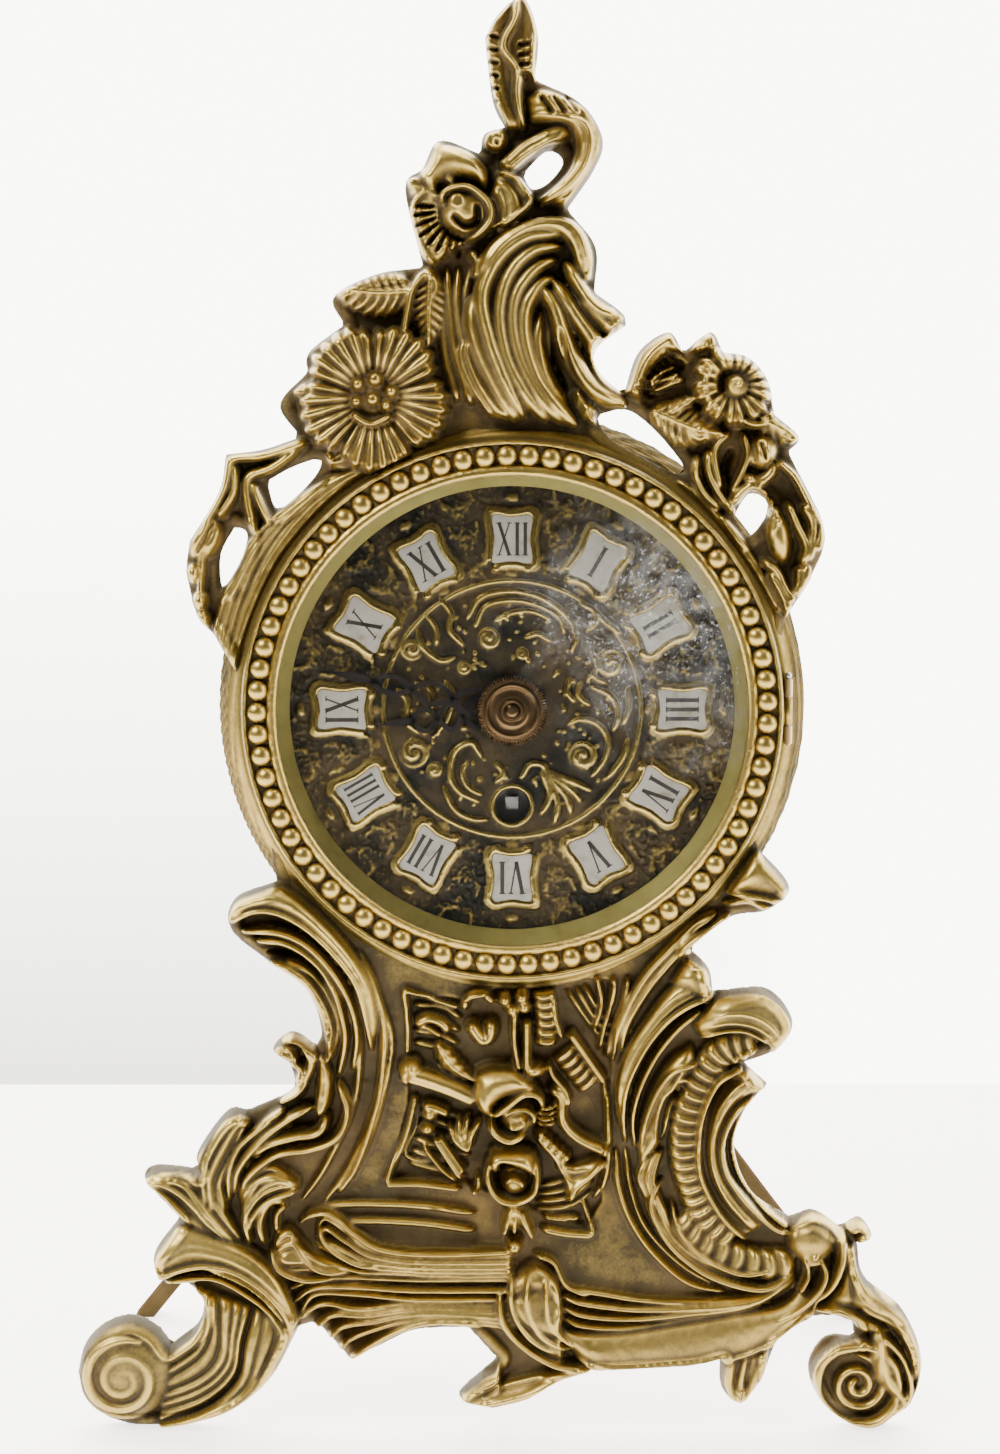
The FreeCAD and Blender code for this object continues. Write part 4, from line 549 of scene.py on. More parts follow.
def waist_left(r):
    shoulder = [(-55.5, 105), (-50.5, 107.5), (-45, 107), (-39, 103.5), (-33.5, 98), (-29.5, 92),
                (-27.5, 84), (-26.5, 77.5)]
    r.fan([(-56, 106), (-54, 110), (-49.5, 112.5), (-44, 112), (-37.5, 107), (-31, 100), (-26.5, 93.5),
           (-24.5, 86.5)], shoulder, 1, 7, 0, start=0.12, end=0.6, crown=0.45)
    r.stroke(shoulder, 2.2, 7.2, start=0.1, end=0.6)
    r.stroke([(-53, 103), (-46, 103), (-40, 100.5), (-35, 95.5), (-31, 88.5), (-29.5, 81), (-30.5, 73.5)],
             2.2, 6.2, end=0.6)
    r.stroke([(-50, 101), (-44, 100.5), (-38.5, 97), (-34.5, 91.5), (-32.5, 85), (-32, 79.5), (-33.5, 72)],
             2.2, 5.4, end=0.5)
    r.stroke([(-47.5, 96.5), (-42, 94), (-38, 89.5), (-35.5, 84), (-35, 78), (-36, 75)], 2.4, 5.6, end=0.5)
    r.stroke([(-44, 97), (-38.5, 94), (-35, 88.5), (-33.5, 83), (-34.5, 76)], 1.8, 4.2, end=0.5)
    r.groove([(-48, 98.5), (-42.5, 98), (-38.5, 95), (-36, 92)], 2, 2.6)
    r.stroke([(-29, 98.5), (-26, 92), (-24, 83), (-24, 76), (-25.5, 66.5), (-29.5, 54.5), (-33.5, 48)], 1.6,
             3.4, end=0.1)
    r.stroke([(-26, 92), (-24, 86.5), (-22.5, 80.5), (-23, 73.5), (-25.5, 63), (-29, 54)], 1, 2.4, end=0.1)
    r.coil(-44.5, 77, 2.9, 1.3, 6.2, 1.6)
    r.stroke([(-46, 80), (-43, 81), (-40, 79.5), (-39, 75.5), (-41.5, 70.5), (-45.5, 67)], 2.6, 5.6,
             end=0.4)
    r.stroke([(-43, 76), (-41, 73.5), (-44, 69)], 1.6, 4.4, end=0.4)
    r.fan([(-37.5, 77), (-38, 71.5), (-38.5, 66), (-37.5, 64)],
          [(-36, 76.5), (-34.5, 72), (-35, 66.5), (-37.5, 64)], 1, 5.2, 0.6, start=0.2, end=0.2)
    r.stroke([(-33.5, 71.5), (-31.5, 66), (-33.5, 60.5), (-39, 58), (-45.5, 57), (-50.5, 53.5),
              (-53.5, 49)], 2.2, 6.6, end=0.4)
    r.stroke([(-38.5, 66.5), (-42, 65), (-46.5, 62), (-50.5, 58.5), (-54, 53.5), (-55, 48)], 2.4, 6,
             end=0.4)
    r.stroke([(-35.5, 65), (-37.5, 61.5), (-42.5, 60.5), (-47.5, 59), (-51, 56)], 2.6, 6.8, end=0.4)
    r.stroke([(-32.5, 62.5), (-36, 58.5), (-43, 57.5), (-49, 55), (-52.5, 51.5), (-53.5, 46.5)], 1.8, 5.8,
             end=0.4)
    r.stroke([(-44.5, 66), (-49.5, 62), (-54, 58), (-56, 52.5), (-56, 46.5)], 2.2, 5, end=0.4)
    lock_low = [(-51.5, 41), (-51, 44), (-48.5, 47), (-45, 48.5), (-41.5, 49.5)]
    r.fan([(-54, 42.5), (-52.5, 47), (-49.5, 51.5), (-45, 53.5), (-41.5, 51.5)], lock_low, 4, 6.4, 2,
          start=0.2, end=0.2)
    r.stroke(lock_low, 1.6, 6.8, start=0.3)
    r.fan([(-66.5, 43), (-64.5, 48), (-63.5, 54.5), (-61.5, 60), (-58.5, 64.5), (-54.5, 66)],
          [(-56, 40.5), (-56, 45.5), (-57, 50.5), (-54.5, 57), (-51.5, 63.5)], 4, 6.2, 2.1, start=0.5,
          end=0.12)
    r.fan([(-73.5, 50.5), (-70.5, 48.5), (-66.5, 44), (-62, 40.5), (-56, 38)],
          [(-72, 53), (-64, 53.5), (-60, 50), (-56, 44.5), (-52.5, 38)], 4, 6.4, 2.2, start=0.12, end=0.4)
    r.stroke([(-73.5, 51.5), (-68.5, 50.5), (-63.5, 47), (-58, 41)], 1.8, 6.8, start=0.12, end=0.5)
    r.fan([(-54.5, 48), (-53, 52), (-47.5, 55), (-42, 51.5)],
          [(-51.5, 42.5), (-49.5, 45.5), (-45.5, 48), (-42, 49)], 4, 6.2, 2, start=0.3, end=0.2)
    r.stroke([(-48.5, 38), (-49.5, 43), (-47.5, 47), (-44, 47.5)], 2.2, 6.2, start=0.3)
    r.stroke([(-51.5, 38), (-52.5, 43), (-52, 48), (-49, 52)], 2, 5.8, start=0.3)
    r.stroke([(-46, 40.5), (-46, 44.5), (-44, 46.5)], 1.6, 5.4, start=0.3)


def waist_right(r):
    upper_low = [(46.5, 111), (52, 110.5), (56.5, 109.5), (59, 108)]
    r.fan([(49, 115), (52.5, 119.5), (56.5, 118), (59.5, 114.5), (60, 110)], upper_low, 1, 7.2, 0,
          start=0.3, end=0.15, crown=0.45)
    r.stroke(upper_low, 1.8, 7.4, start=0.4)
    r.stroke([(46, 108.5), (51, 109.5), (55.5, 107.5), (58.5, 107.5)], 1.6, 6, start=0.4)
    r.stroke([(44.5, 107), (40, 104), (35, 99), (30.5, 94), (26.5, 87.5), (24, 80.5), (23, 75)], 2.2, 3.8,
             start=0.1, end=0.3)
    r.stroke([(47, 106.5), (44, 103.5), (39.5, 101), (35, 96.5), (30.5, 91), (26.5, 84), (25, 77.5)], 2.2,
             4.2, start=0.1, end=0.3)
    r.stroke([(45, 103), (41.5, 101), (37.5, 98)], 2.4, 4.4, end=0.4)
    r.stroke([(23.5, 93), (23, 87.5), (21.5, 82), (20.5, 77.5)], 1.4, 3.2)
    r.stroke([(20, 93), (21, 87.5), (19.5, 82)], 1.4, 3.2)
    r.stroke([(26.5, 93), (25.5, 87.5), (23.5, 82), (22, 76)], 1.4, 3)
    ball_edge = [(44, 89.5), (39.5, 88), (34.5, 84.5), (30, 79), (26.5, 71.5), (25.5, 65), (26, 58.5)]
    r.fan([(38.5, 97.5), (42.5, 95.5), (44.5, 92), (44, 89.5)],
          [(35, 92), (37, 91), (40.5, 89.5), (44, 89.5)], 1, 6.4, 0, start=0.3, end=0.2)
    r.dome(41.5, 93, 3.4, 7)
    r.fan([(39.5, 94), (34.5, 91), (30, 85), (26, 78.5), (24, 71.5), (24, 65)], ball_edge, 2, 5.6, 1.4,
          start=0.12, end=0.5)
    r.stroke(ball_edge, 1.6, 6.6, start=0.1, end=0.6)
    r.stroke([(41.5, 86.5), (37, 83), (32.5, 77.5), (29, 70.5), (27.5, 64), (28, 57.5)], 1.6, 5.6,
             start=0.1, end=0.5)
    lobe_low = [(41, 81), (46, 82.5), (50.5, 82.5), (54.5, 80.5), (55.5, 79.5)]
    r.fan([(39.5, 84), (44.5, 89), (50.5, 91), (56.5, 89), (60.5, 84), (59.5, 79), (56, 77.5)], lobe_low, 1,
          7.6, 0, start=0.3, end=0.12, crown=0.45)
    r.stroke([(42, 85), (47, 86.5), (52, 86), (56, 83.5), (57.5, 80.5)], 1.8, 8.6, start=0.3)
    r.stroke([(41, 83), (46.5, 84.5), (51.5, 84), (55, 82), (56, 80)], 1.5, 7.8, start=0.3)
    r.stroke(lobe_low, 1.5, 6.8, start=0.2)
    r.fan([(39.5, 79.5), (35, 76.5), (31.5, 71.5), (29.5, 66), (28.5, 58.5)],
          [(41, 75), (38.5, 72), (36, 66.5), (34, 59.5), (29, 53.5)], 2, 5.4, 1.6, start=0.15, end=0.3)
    r.stroke([(41, 75.5), (36, 74), (32.5, 70), (30, 64), (29, 57.5)], 1.4, 6.6, start=0.1, end=0.3)
    r.stroke([(39.5, 72), (35, 71), (33, 66), (32.5, 61.5), (33, 58.5)], 1.2, 5)
    r.groove([(38, 70), (35, 68), (33.5, 64), (33, 59)], 2.2, 3.4)
    r.ribbon([(52.5, 80), (46.5, 78), (43, 74), (40, 68), (38.5, 62), (38.5, 56), (40, 49.5), (43, 43.5),
              (48, 39)], 6.6, 4.6, 21, 1.5)
    r.ribbon([(36.5, 43.5), (40.5, 39), (46.5, 36), (54, 34), (61, 34.5)], 6.4, 4.4, 8, 1.5, start=0,
             end=0.15)
    inner = [(51.5, 72.5), (47.5, 71), (44, 66), (42.5, 59.5), (43, 53), (46, 46.5), (51.5, 41)]
    r.fan([(55, 71.5), (51, 74.5), (47, 71.5), (43, 66), (41, 59.5), (41.5, 52.5), (45, 45.5),
           (50.5, 39.5)],
          [(55, 70), (51.5, 69), (47.5, 65), (45.5, 59), (46.5, 53), (50, 48), (55.5, 42.5)], 1, 6, 1,
          start=0.15)
    r.stroke([(50, 74.5), (45, 71.5), (42, 65.5), (41, 59), (41.5, 52), (45.5, 44.5), (51, 39)], 1.5, 6.6,
             start=0.08, end=0.1)
    r.groove(inner, 2.4, 2.2)
    r.dome(52.5, 72, 2.6, 6.8)
    r.stroke([(53, 68), (49, 66), (46, 60), (46.5, 53.5), (50, 48), (55.5, 42.5), (59.5, 40.5)], 1.5, 6.4,
             start=0.1, end=0.05)
    r.stroke([(51.5, 65), (49, 61), (48.5, 57), (50.5, 51), (55, 45.5), (59.5, 42)], 1.4, 5.4, start=0.1,
             end=0.05)
    r.fan([(30.5, 57), (28, 52), (30, 47), (32, 41.5), (38.5, 35), (46.5, 30)],
          [(34, 57), (32.5, 51), (34.5, 45.5), (37, 40.5), (43, 36), (54, 32.5)], 3, 5.4, 1.8, start=0.2,
          end=0.3)
    r.stroke([(33.5, 51), (31, 47), (33, 41.5), (37, 36.5), (44, 32), (54, 29.5), (61, 32.5)], 1.8, 6.6,
             start=0.2, end=0.3)
    r.stroke([(35.5, 46.5), (37, 41), (42, 36), (49.5, 32.5), (57.5, 33)], 1.4, 5.6, start=0.2, end=0.3)
    r.stroke([(24, 57), (24.5, 50), (27, 43), (31.5, 36.5), (38.5, 30.5), (46.5, 28)], 1.6, 3.8, start=0.2,
             end=0.3)
    r.stroke([(26, 57), (27, 49.5), (30, 41.5), (36.5, 34.5), (44, 29.5)], 1.2, 2.8, start=0.2, end=0.3)


def panel_frame(r):
    r.recess([(-19, 89.5), (-8, 88), (8, 93), (23.5, 92), (23.5, 78), (21.5, 60), (21, 46), (18, 41),
              (8, 44), (-8, 50.5), (-23, 51), (-19, 66)], 1.5)
    r.flow([(-29.5, 92), (-29, 78), (-30.5, 66), (-36, 54), (-41, 46.5)],
           [(-26, 92), (-24.5, 78), (-26, 66), (-31, 54), (-36.5, 46)], 2, 1.5, 3, start=0.1, end=0.2)
    r.flow([(-38, 45.5), (-28, 46), (-16, 45.5), (-5, 44)], [(-37, 42), (-28, 42.5), (-16, 42), (-5, 40.5)],
           2, 1.7, 3.2, start=0.15, end=0.1)
    r.stroke([(-20, 90.5), (-14.5, 88.5), (-8.5, 86.5)], 1.3, 2.6, start=0.05, end=0.05)
    r.stroke([(-20, 90.5), (-19, 83.5), (-19, 77)], 1.3, 2.6, start=0.05, end=0.05)
    r.stroke([(-17.5, 68), (-19.5, 60), (-23.5, 50.5)], 1.6, 3, start=0.05, end=0)
    r.stroke([(-23.5, 50), (-16.5, 50), (-8, 49)], 1.6, 3.2, start=0, end=0.1)
    r.stroke([(-16.5, 67.5), (-17.5, 61.5), (-19.5, 55.5), (-13, 54)], 0.9, 1.8)
    r.stroke([(21.5, 73), (22.5, 60), (22, 52), (19.5, 46.5)], 1.4, 2.6)
    r.stroke([(8.5, 41), (13, 40), (19.5, 39.5)], 1.8, 3)
    r.stroke([(9, 43.5), (12, 43), (16.5, 42.5)], 1.4, 2.4)
    r.stroke([(17, 46.5), (18.5, 42.5), (19.5, 39.5)], 1, 2.6)


def trophy(r):
    # torch, quiver and pipes behind the roses
    r.stroke([(-20, 73.5), (-12, 71), (-5, 68)], 4.4, 6.2, start=0, end=0)
    r.stroke([(-20, 72), (-12, 69.5), (-6, 67)], 1.2, 5.8, start=0, end=0)
    r.dome(-18.5, 74, 2.6, 6.8)
    r.leaf((-13, 79.5), (-5, 71.5), 4.4, 5.4, bend=-0.1, veins=5)
    r.stroke([(-17.5, 83), (-15, 84.5), (-12, 83.5), (-10.5, 81.5)], 2.6, 5)
    r.stroke([(-17, 82.5), (-15, 82.5), (-12, 80.5)], 1.2, 4)
    r.stroke([(-7.5, 86), (-6.5, 89), (-3.5, 89.5), (-1, 87.5)], 2, 4.6)
    r.stroke([(-6.5, 84), (-3.5, 80), (-2, 81.5), (-2, 84.5)], 3.4, 6.2)
    r.stroke([(3, 86), (3, 80), (4, 74)], 1.8, 6.8, start=0.05, end=0.05)
    r.stroke([(5.5, 84.5), (5.5, 79.5), (5.5, 74)], 2.2, 7.4, start=0.05, end=0.05)
    for x, z in ((1, 88.5), (2.5, 86.5), (5, 87), (4.5, 89)):
        r.dome(x, z, 1.7, 6.6)
    r.dome(7, 74, 3, 8, 0.6)
    r.ribbon([(9, 90), (9.5, 84.5), (9.5, 78.5)], 4.6, 4.8, 6, 1.6, start=0)
    r.stroke([(11, 89.5), (11.5, 84.5), (13, 80)], 1.1, 5.6)
    r.stroke([(14.5, 81.5), (18, 76.5), (21.5, 71.5)], 2, 6.6, start=0, end=0)
    r.ribbon([(13, 77.5), (16, 73.5), (19, 70)], 5.2, 4.8, 5, 2.2, start=0, end=0)
    r.stroke([(10, 75.5), (11, 72.5), (13.5, 69.5), (14.5, 66)], 1.4, 6)
    r.stroke([(10, 70), (12.5, 68.5), (13, 63.5), (16, 60), (22, 57)], 2.8, 6.6, start=0.1, end=0)
    for k in range(4):
        r.stroke([(7.5, 66.5 - 1.1 * k), (9.5, 66 - 1.1 * k), (11.5, 66.5 - 1.1 * k)], 0.8, 7.4)
    # roses
    r.fan([(-5, 66), (-5.5, 71), (-4.5, 74), (0.5, 75), (5, 73.5)],
          [(-1, 63.5), (-1, 66.5), (2, 68.5), (6.5, 69.5), (8.5, 70)], 1, 9.4, 0, start=0.2, end=0.2,
          crown=0.4)
    r.stroke([(-2, 64.5), (1.5, 67), (5, 69.5), (8, 69), (9, 66)], 1.8, 10.2, start=0.2, end=0.2)
    r.stroke([(-2, 64), (-1, 61.5), (2, 60), (5.5, 61.5)], 2.2, 10, start=0.2, end=0.2)
    r.dome(3.5, 64.5, 4.2, 8)
    r.stroke([(0.5, 64.5), (2, 66), (5, 66.5), (7, 65), (6.5, 63)], 1.2, 9.6)
    r.stroke([(1.5, 63), (3, 62.5), (5, 63.5), (4, 65)], 1.2, 9.2)
    r.groove([(4.5, 66.5), (6.5, 64.5), (5, 62.5)], 0.8, 2.2)
    r.groove([(2, 64.5), (3.5, 63.5), (5.5, 64)], 0.7, 2)
    r.fan([(-2, 53.5), (-2, 57), (0.5, 58), (5, 58), (7.5, 57)],
          [(-0.5, 52.5), (0.5, 55), (4, 54), (6.5, 52.5), (7.5, 50.5)], 1, 9.2, 0, start=0.2, end=0.25,
          crown=0.4)
    r.stroke([(-2, 56), (-2.5, 52), (-1, 48.5), (2.5, 47), (6, 48), (7.5, 50.5), (7.5, 56)], 1.8, 8.2,
             start=0.2, end=0.2)
    r.dome(3, 51, 3.4, 7)
    r.stroke([(1, 51), (2.5, 52), (4.5, 51), (4.5, 50)], 1.2, 8.6)
    r.groove([(0.5, 52.5), (3, 53), (5.5, 52)], 1, 3)
    r.flow([(-18, 87), (-12, 86.5), (-8, 84)], [(-18, 79), (-13, 78), (-9, 76)], 4, 1.5, 2.4)
    r.flow([(14, 90), (18, 84), (22.5, 78)], [(17.5, 91), (20, 86.5), (23.5, 82)], 3, 1.2, 2.4)
    r.flow([(-16, 66.5), (-10, 64), (-5, 62)], [(-19, 54), (-13, 52.5), (-7, 51)], 6, 1.6, 2.2)
    r.flow([(8, 49), (14, 50.5), (20, 54)], [(7.5, 44.5), (14, 45), (19, 48)], 4, 1.4, 2.4)
    # tassel and bead
    for tip in ((0.5, 40.5), (3, 40.5), (7, 39.5)):
        r.leaf((3, 47), tip, 2.8, 6.4, veins=3)
    r.stroke([(2, 46), (1, 40.5)], 1, 6.8)
    r.stroke([(4.5, 45.5), (6.5, 40)], 1, 6.8)
    r.dome(3, 38, 2, 6.2)
    # drapery with beads and a scroll at the left
    r.stroke([(-16, 66), (-14, 66), (-10.5, 64.5)], 2.4, 4.8)
    r.dome(-14.5, 64.5, 1.8, 5.8, 0.8)
    r.dome(-15, 61.5, 1.8, 5.6, 0.8)
    r.panel([(-13.5, 59), (-12, 60), (-7, 53), (-9, 51.5)], 5.2)
    r.stroke([(-13.5, 59.5), (-11, 55.5), (-8, 51.5)], 0.9, 6.2, start=0, end=0)
    r.stroke([(-16, 58), (-12.5, 53.5), (-9, 50.5)], 1, 4.4)
    for tip in ((-10.5, 62.5), (-8.5, 64), (-6.5, 64.5), (-4, 63.5)):
        r.leaf((-6.5, 57), tip, 2.4, 6, bend=0.1, veins=3)
    r.stroke([(-4.5, 52), (-4.5, 49.5), (-6, 48.5)], 1.6, 4.8)
    # wreath at the right
    r.stroke([(7.5, 60.5), (10, 57.5), (12.5, 55), (13, 52)], 2.4, 5)
    r.fan([(8.5, 59), (13, 55), (17.5, 55), (21.5, 56.5)],
          [(12.5, 53.5), (14, 49.5), (14, 46), (18.5, 49.5)], 3, 5.6, 1.6)
    r.stroke([(14.5, 46.5), (15.5, 49.5), (18.5, 52), (21.5, 55)], 2.2, 6.2)
    for k in range(5):
        r.dome(8.5 + 1.3 * k, 60.5 - 1.2 * k, 1.2, 5.6)


def left_stems(r):
    r.fan([(-35, 196), (-45, 189.3), (-51.8, 182.3), (-56.3, 173), (-58.5, 164.5), (-58.5, 150)],
          [(-14, 203.5), (-31, 194), (-42.5, 182.5), (-48.5, 172), (-53, 160), (-56.5, 146)], 5, 3.2, 1.3,
          crown=0.2)
    branch = [(-39, 203), (-47.5, 200.3), (-54, 199.5), (-55.8, 194), (-58.5, 189), (-62, 184)]
    r.stroke(branch, 2.4, 4.2, start=0.05, end=0.1)
    r.stroke([(-53.5, 198.5), (-53.8, 193), (-57, 187.5)], 2.2, 3.8)
    r.dome(-59.9, 183.6, 4.8, 4.6, 0.72, 1.15)
    r.groove([(-58, 187), (-61.5, 180.5)], 0.9, 1.4)
    r.stroke([(-60.5, 181), (-60.8, 172)], 1.8, 3.2)
    for x, z in ((-62, 176.5), (-60.8, 171), (-60.6, 167)):
        r.dome(x, z, 2.3, 4, 0.8, 1.5)
    r.stroke([(-40, 202.5), (-46, 198), (-50.8, 196), (-51, 191), (-49.5, 184)], 2.4, 4)
    r.stroke([(-50.5, 195), (-48.3, 190), (-46.5, 186)], 2, 3.8)


def daisy(r):
    r.leaf((-17, 233), (-34, 234), 9.5, 5.2, bend=0.04, veins=9, depth=1.4)
    r.leaf((-14, 237), (-14.5, 222), 8, 4.2, veins=9, depth=1.4)
    r.stroke([(-15, 237), (-17.5, 233.5), (-18.5, 229.5), (-19.5, 224)], 1.8, 5.8)
    r.dome(-37, 222.5, 2.6, 4.6)
    for tip in ((-38.5, 224), (-41.5, 213), (-39, 206)):
        r.leaf((-25.5, 212), tip, 9, 4.6, veins=7, depth=1.2)
    r.bloom(-25.3, 211.8, 15.4, 5, 8.6, ribs=6, start=0.35, cup=0.06)
    r.dome(-25.4, 211.8, 5.8, 6)
    for x, z, size, height in (
        (-28.5, 214.5, 2.2, 7.6), (-25, 215.5, 2.4, 8.2), (-21.8, 213, 2.2, 7.6), (-25.5, 211.5, 2, 8.6),
        (-22.8, 210.2, 1.8, 8), (-28.8, 211, 1.9, 7.4),
    ):
        r.dome(x, z, size, height)
    r.stroke([(-30, 208.8), (-26, 206.6), (-21.5, 208.4)], 2.2, 7.8)
    r.fan([(-35.5, 200.5), (-34, 203), (-31, 203.5), (-28, 205)],
          [(-34, 197.5), (-30.5, 197.5), (-27, 200), (-25, 203)], 5, 3.8, 1.6)


def crest(r):
    rib = [(3.5, 291), (3, 286.5), (1, 282.5), (1, 280), (3.5, 276.5), (3.5, 272), (4, 268), (5, 265)]
    r.fan([(3, 291), (0.5, 287.5), (-2.5, 284.5), (-3, 279.5), (-2, 274.5), (-1, 270.5), (1.5, 265)], rib,
          1, 3.4, 0, crown=0.2)
    r.stroke([(3, 291), (0.5, 287.5), (-2, 284.5), (-2.5, 279.5), (-1.5, 274.5), (-0.5, 270.5), (2, 265)],
             1.5, 4.6, start=0.1)
    r.fan(rib[:5], [(4, 291), (6.5, 288), (7, 284), (7, 279.5), (7.5, 274.5)], 1, 3.8, 0, crown=0.2)
    r.stroke([(4, 291), (6, 288), (7, 284), (6.5, 279.5), (7, 274.5)], 1.5, 5, start=0.1)
    r.stroke(rib, 2, 6.6, start=0.1, end=0.2)
    for z in (283, 280.5, 278, 275.5, 273, 270.5, 268):
        r.groove([(-3.2, z + 0.5), (-0.2, z - 0.3)], 1.1, 2)
    for z in (281.5, 279.5, 277.5, 275.5):
        r.groove([(3.6, z), (6, z + 0.2)], 1, 1.8)
    band_out = [(5, 271.5), (8.5, 273), (14, 271), (19, 268), (20.5, 263), (19, 257.5), (16, 253),
                (13, 249.5)]
    r.fan(band_out, [(6, 266), (10, 265.5), (13.5, 265), (15, 262), (14, 257.5), (11, 254), (7, 251)], 2, 6,
          1.2, start=0.2)
    r.stroke([(13, 268), (17, 265.5), (18, 261.5), (16.5, 257), (13, 253), (8, 250)], 1.6, 7, start=0.2,
             end=0.2)
    for x in (8, 10.5, 13):
        r.groove([(x, 271.5), (x + 2.6, 268)], 1.2, 2.2)
    r.stroke([(0.5, 257), (4.5, 260.5), (10, 263.5), (14, 264.5)], 4, 5.2, start=0.1)
    r.stroke([(1, 258.5), (5, 262), (10, 264.5)], 1.4, 6, start=0.1)
    r.dome(-1, 263, 2.7, 5.6)
    r.groove([(-1, 263), (-0.5, 262)], 1.4, 1.6)


def rose(r):
    r.fan([(-15.5, 254), (-16, 258.5), (-13, 262), (-7, 261), (-2.5, 257.5)],
          [(-12.5, 251.5), (-12, 254), (-8.5, 255), (-5, 254.5), (-2.5, 252.5)], 1, 8, 0, start=0.2,
          end=0.2)
    r.leaf((-9.5, 254), (-13.5, 263), 6, 6.2, veins=3)
    r.leaf((-12, 251.5), (-18.5, 255), 5.6, 5.4, veins=3)
    left_rim = [(-13.5, 254), (-17, 250.5), (-17.5, 246), (-15.5, 241), (-13, 238)]
    r.fan(left_rim, [(-11, 251), (-12, 249), (-11.5, 246), (-9.5, 243.5), (-7, 243)], 7, 4.6, 1.6,
          crown=0.1)
    for k in range(8):
        a = math.pi * (0.98 + 0.075 * k)
        r.groove([(-8.5 + 4.5 * math.cos(a), 249.5 + 4.5 * math.sin(a)),
                  (-8.5 + 9.6 * math.cos(a), 249.5 + 9.6 * math.sin(a))], 1, 2.4)
    r.stroke(left_rim, 1.3, 6.4)
    r.fan([(-0.5, 256.5), (3.5, 255), (6.5, 251), (4.5, 249), (1, 247)],
          [(-2.5, 251), (-1.5, 249.5), (-1.5, 247), (-3, 244.5), (-5.5, 242.5)], 4, 6.6, 1.4, start=0.15,
          end=0.2)
    r.stroke([(-0.5, 256.5), (3.5, 255), (6, 251), (3.5, 248), (0, 245.5)], 1.4, 7.4)
    r.dome(-7, 249, 5.4, 7.4)
    r.stroke([(-11.5, 249.5), (-11, 252.5), (-6.5, 253.5), (-2.5, 250.5), (-2, 247), (-4.5, 244),
              (-7, 243)], 1.8, 9, start=0.2, end=0.2)
    r.groove([(-9.5, 248), (-7, 246), (-4.5, 247), (-4.5, 250)], 1.8, 3.6)
    r.dome(-8.5, 250.5, 2.3, 9.6)
    r.stroke([(-15, 237.5), (-13, 234), (-15, 230)], 2.6, 4.4)
    r.stroke([(-6, 241), (-4.5, 239), (-5, 235.5)], 2, 4.8)


def plume(r):
    r.fan([(-5.5, 236.5), (-2.5, 242.5), (3.5, 246.5), (10, 248), (15.5, 246.5), (18.5, 241),
           (18.5, 235.5)],
          [(-2.5, 233), (0.5, 239.5), (5, 243.5), (10, 244.5), (13, 243), (14.5, 240), (15.5, 234)], 2, 7.8,
          1, crown=0.45, start=0.15, end=0.3)
    for line, height in (
        ([(13, 244.5), (5, 243.5), (-0.5, 239), (-3.5, 232), (-2, 223.5), (1, 215.5), (5, 207.5)], 7.6),
        ([(12.5, 242), (6.5, 241), (2, 236.5), (0, 229.5), (1, 221), (4.5, 213.5), (9.5, 207)], 7.2),
        ([(11.5, 239.5), (7, 237.5), (3.5, 233), (2.5, 227), (4, 219.5), (8, 212), (13, 206.5)], 6.8),
        ([(11, 236), (7.5, 234), (5, 229.5), (5, 223.5), (7, 216.5), (11, 210.5), (15.5, 206)], 6.6),
        ([(9, 229.5), (7.5, 223), (9, 216), (13, 209.5)], 5.2),
        ([(8, 234.5), (11, 229.5), (13, 223.5), (16, 217), (19.5, 213), (25.5, 210)], 7),
        ([(10.5, 235.5), (15, 228.5), (19, 222.5), (21.5, 216), (25, 212.5)], 6.8),
        ([(-5, 233), (-5.5, 227), (-3.5, 220), (0, 213), (3.5, 207)], 6.2),
    ):
        r.stroke(line, 4.2, height, start=0.25, end=0.2)
    r.flow([(-13, 238), (-11.5, 230), (-11, 221), (-8.5, 211)], [(-6, 238), (-7, 230), (-5, 221), (0, 209)],
           4, 2.2, 3.4, start=0.3, end=0.1)
    r.groove([(9, 230.5), (10, 221), (13.5, 213)], 2.2, 3.6)
    r.groove([(12, 225.5), (14, 217.5), (18, 211)], 1.6, 2.6)
    r.stroke([(13, 239), (16.5, 233), (19.5, 229.5), (23.5, 228)], 3.2, 7.4, start=0.25, end=0.1)
    r.fan([(18, 233.5), (22, 230.5), (25.5, 228)], [(14.5, 230.5), (18.5, 226.5), (22.5, 224)], 2, 6.6, 1.2,
          start=0.2)
    r.stroke([(19, 222), (21.5, 223.5), (25, 226.5)], 1.5, 6.2)
    r.fan([(-7.5, 224), (-9, 220.5), (-7, 214.5), (-2.5, 208)],
          [(-5.5, 223), (-2.5, 217.5), (1, 212.5), (4.5, 207)], 3, 5.2, 1.6)
    r.leaf((15.5, 213.5), (19, 206.5), 4, 4, veins=3)


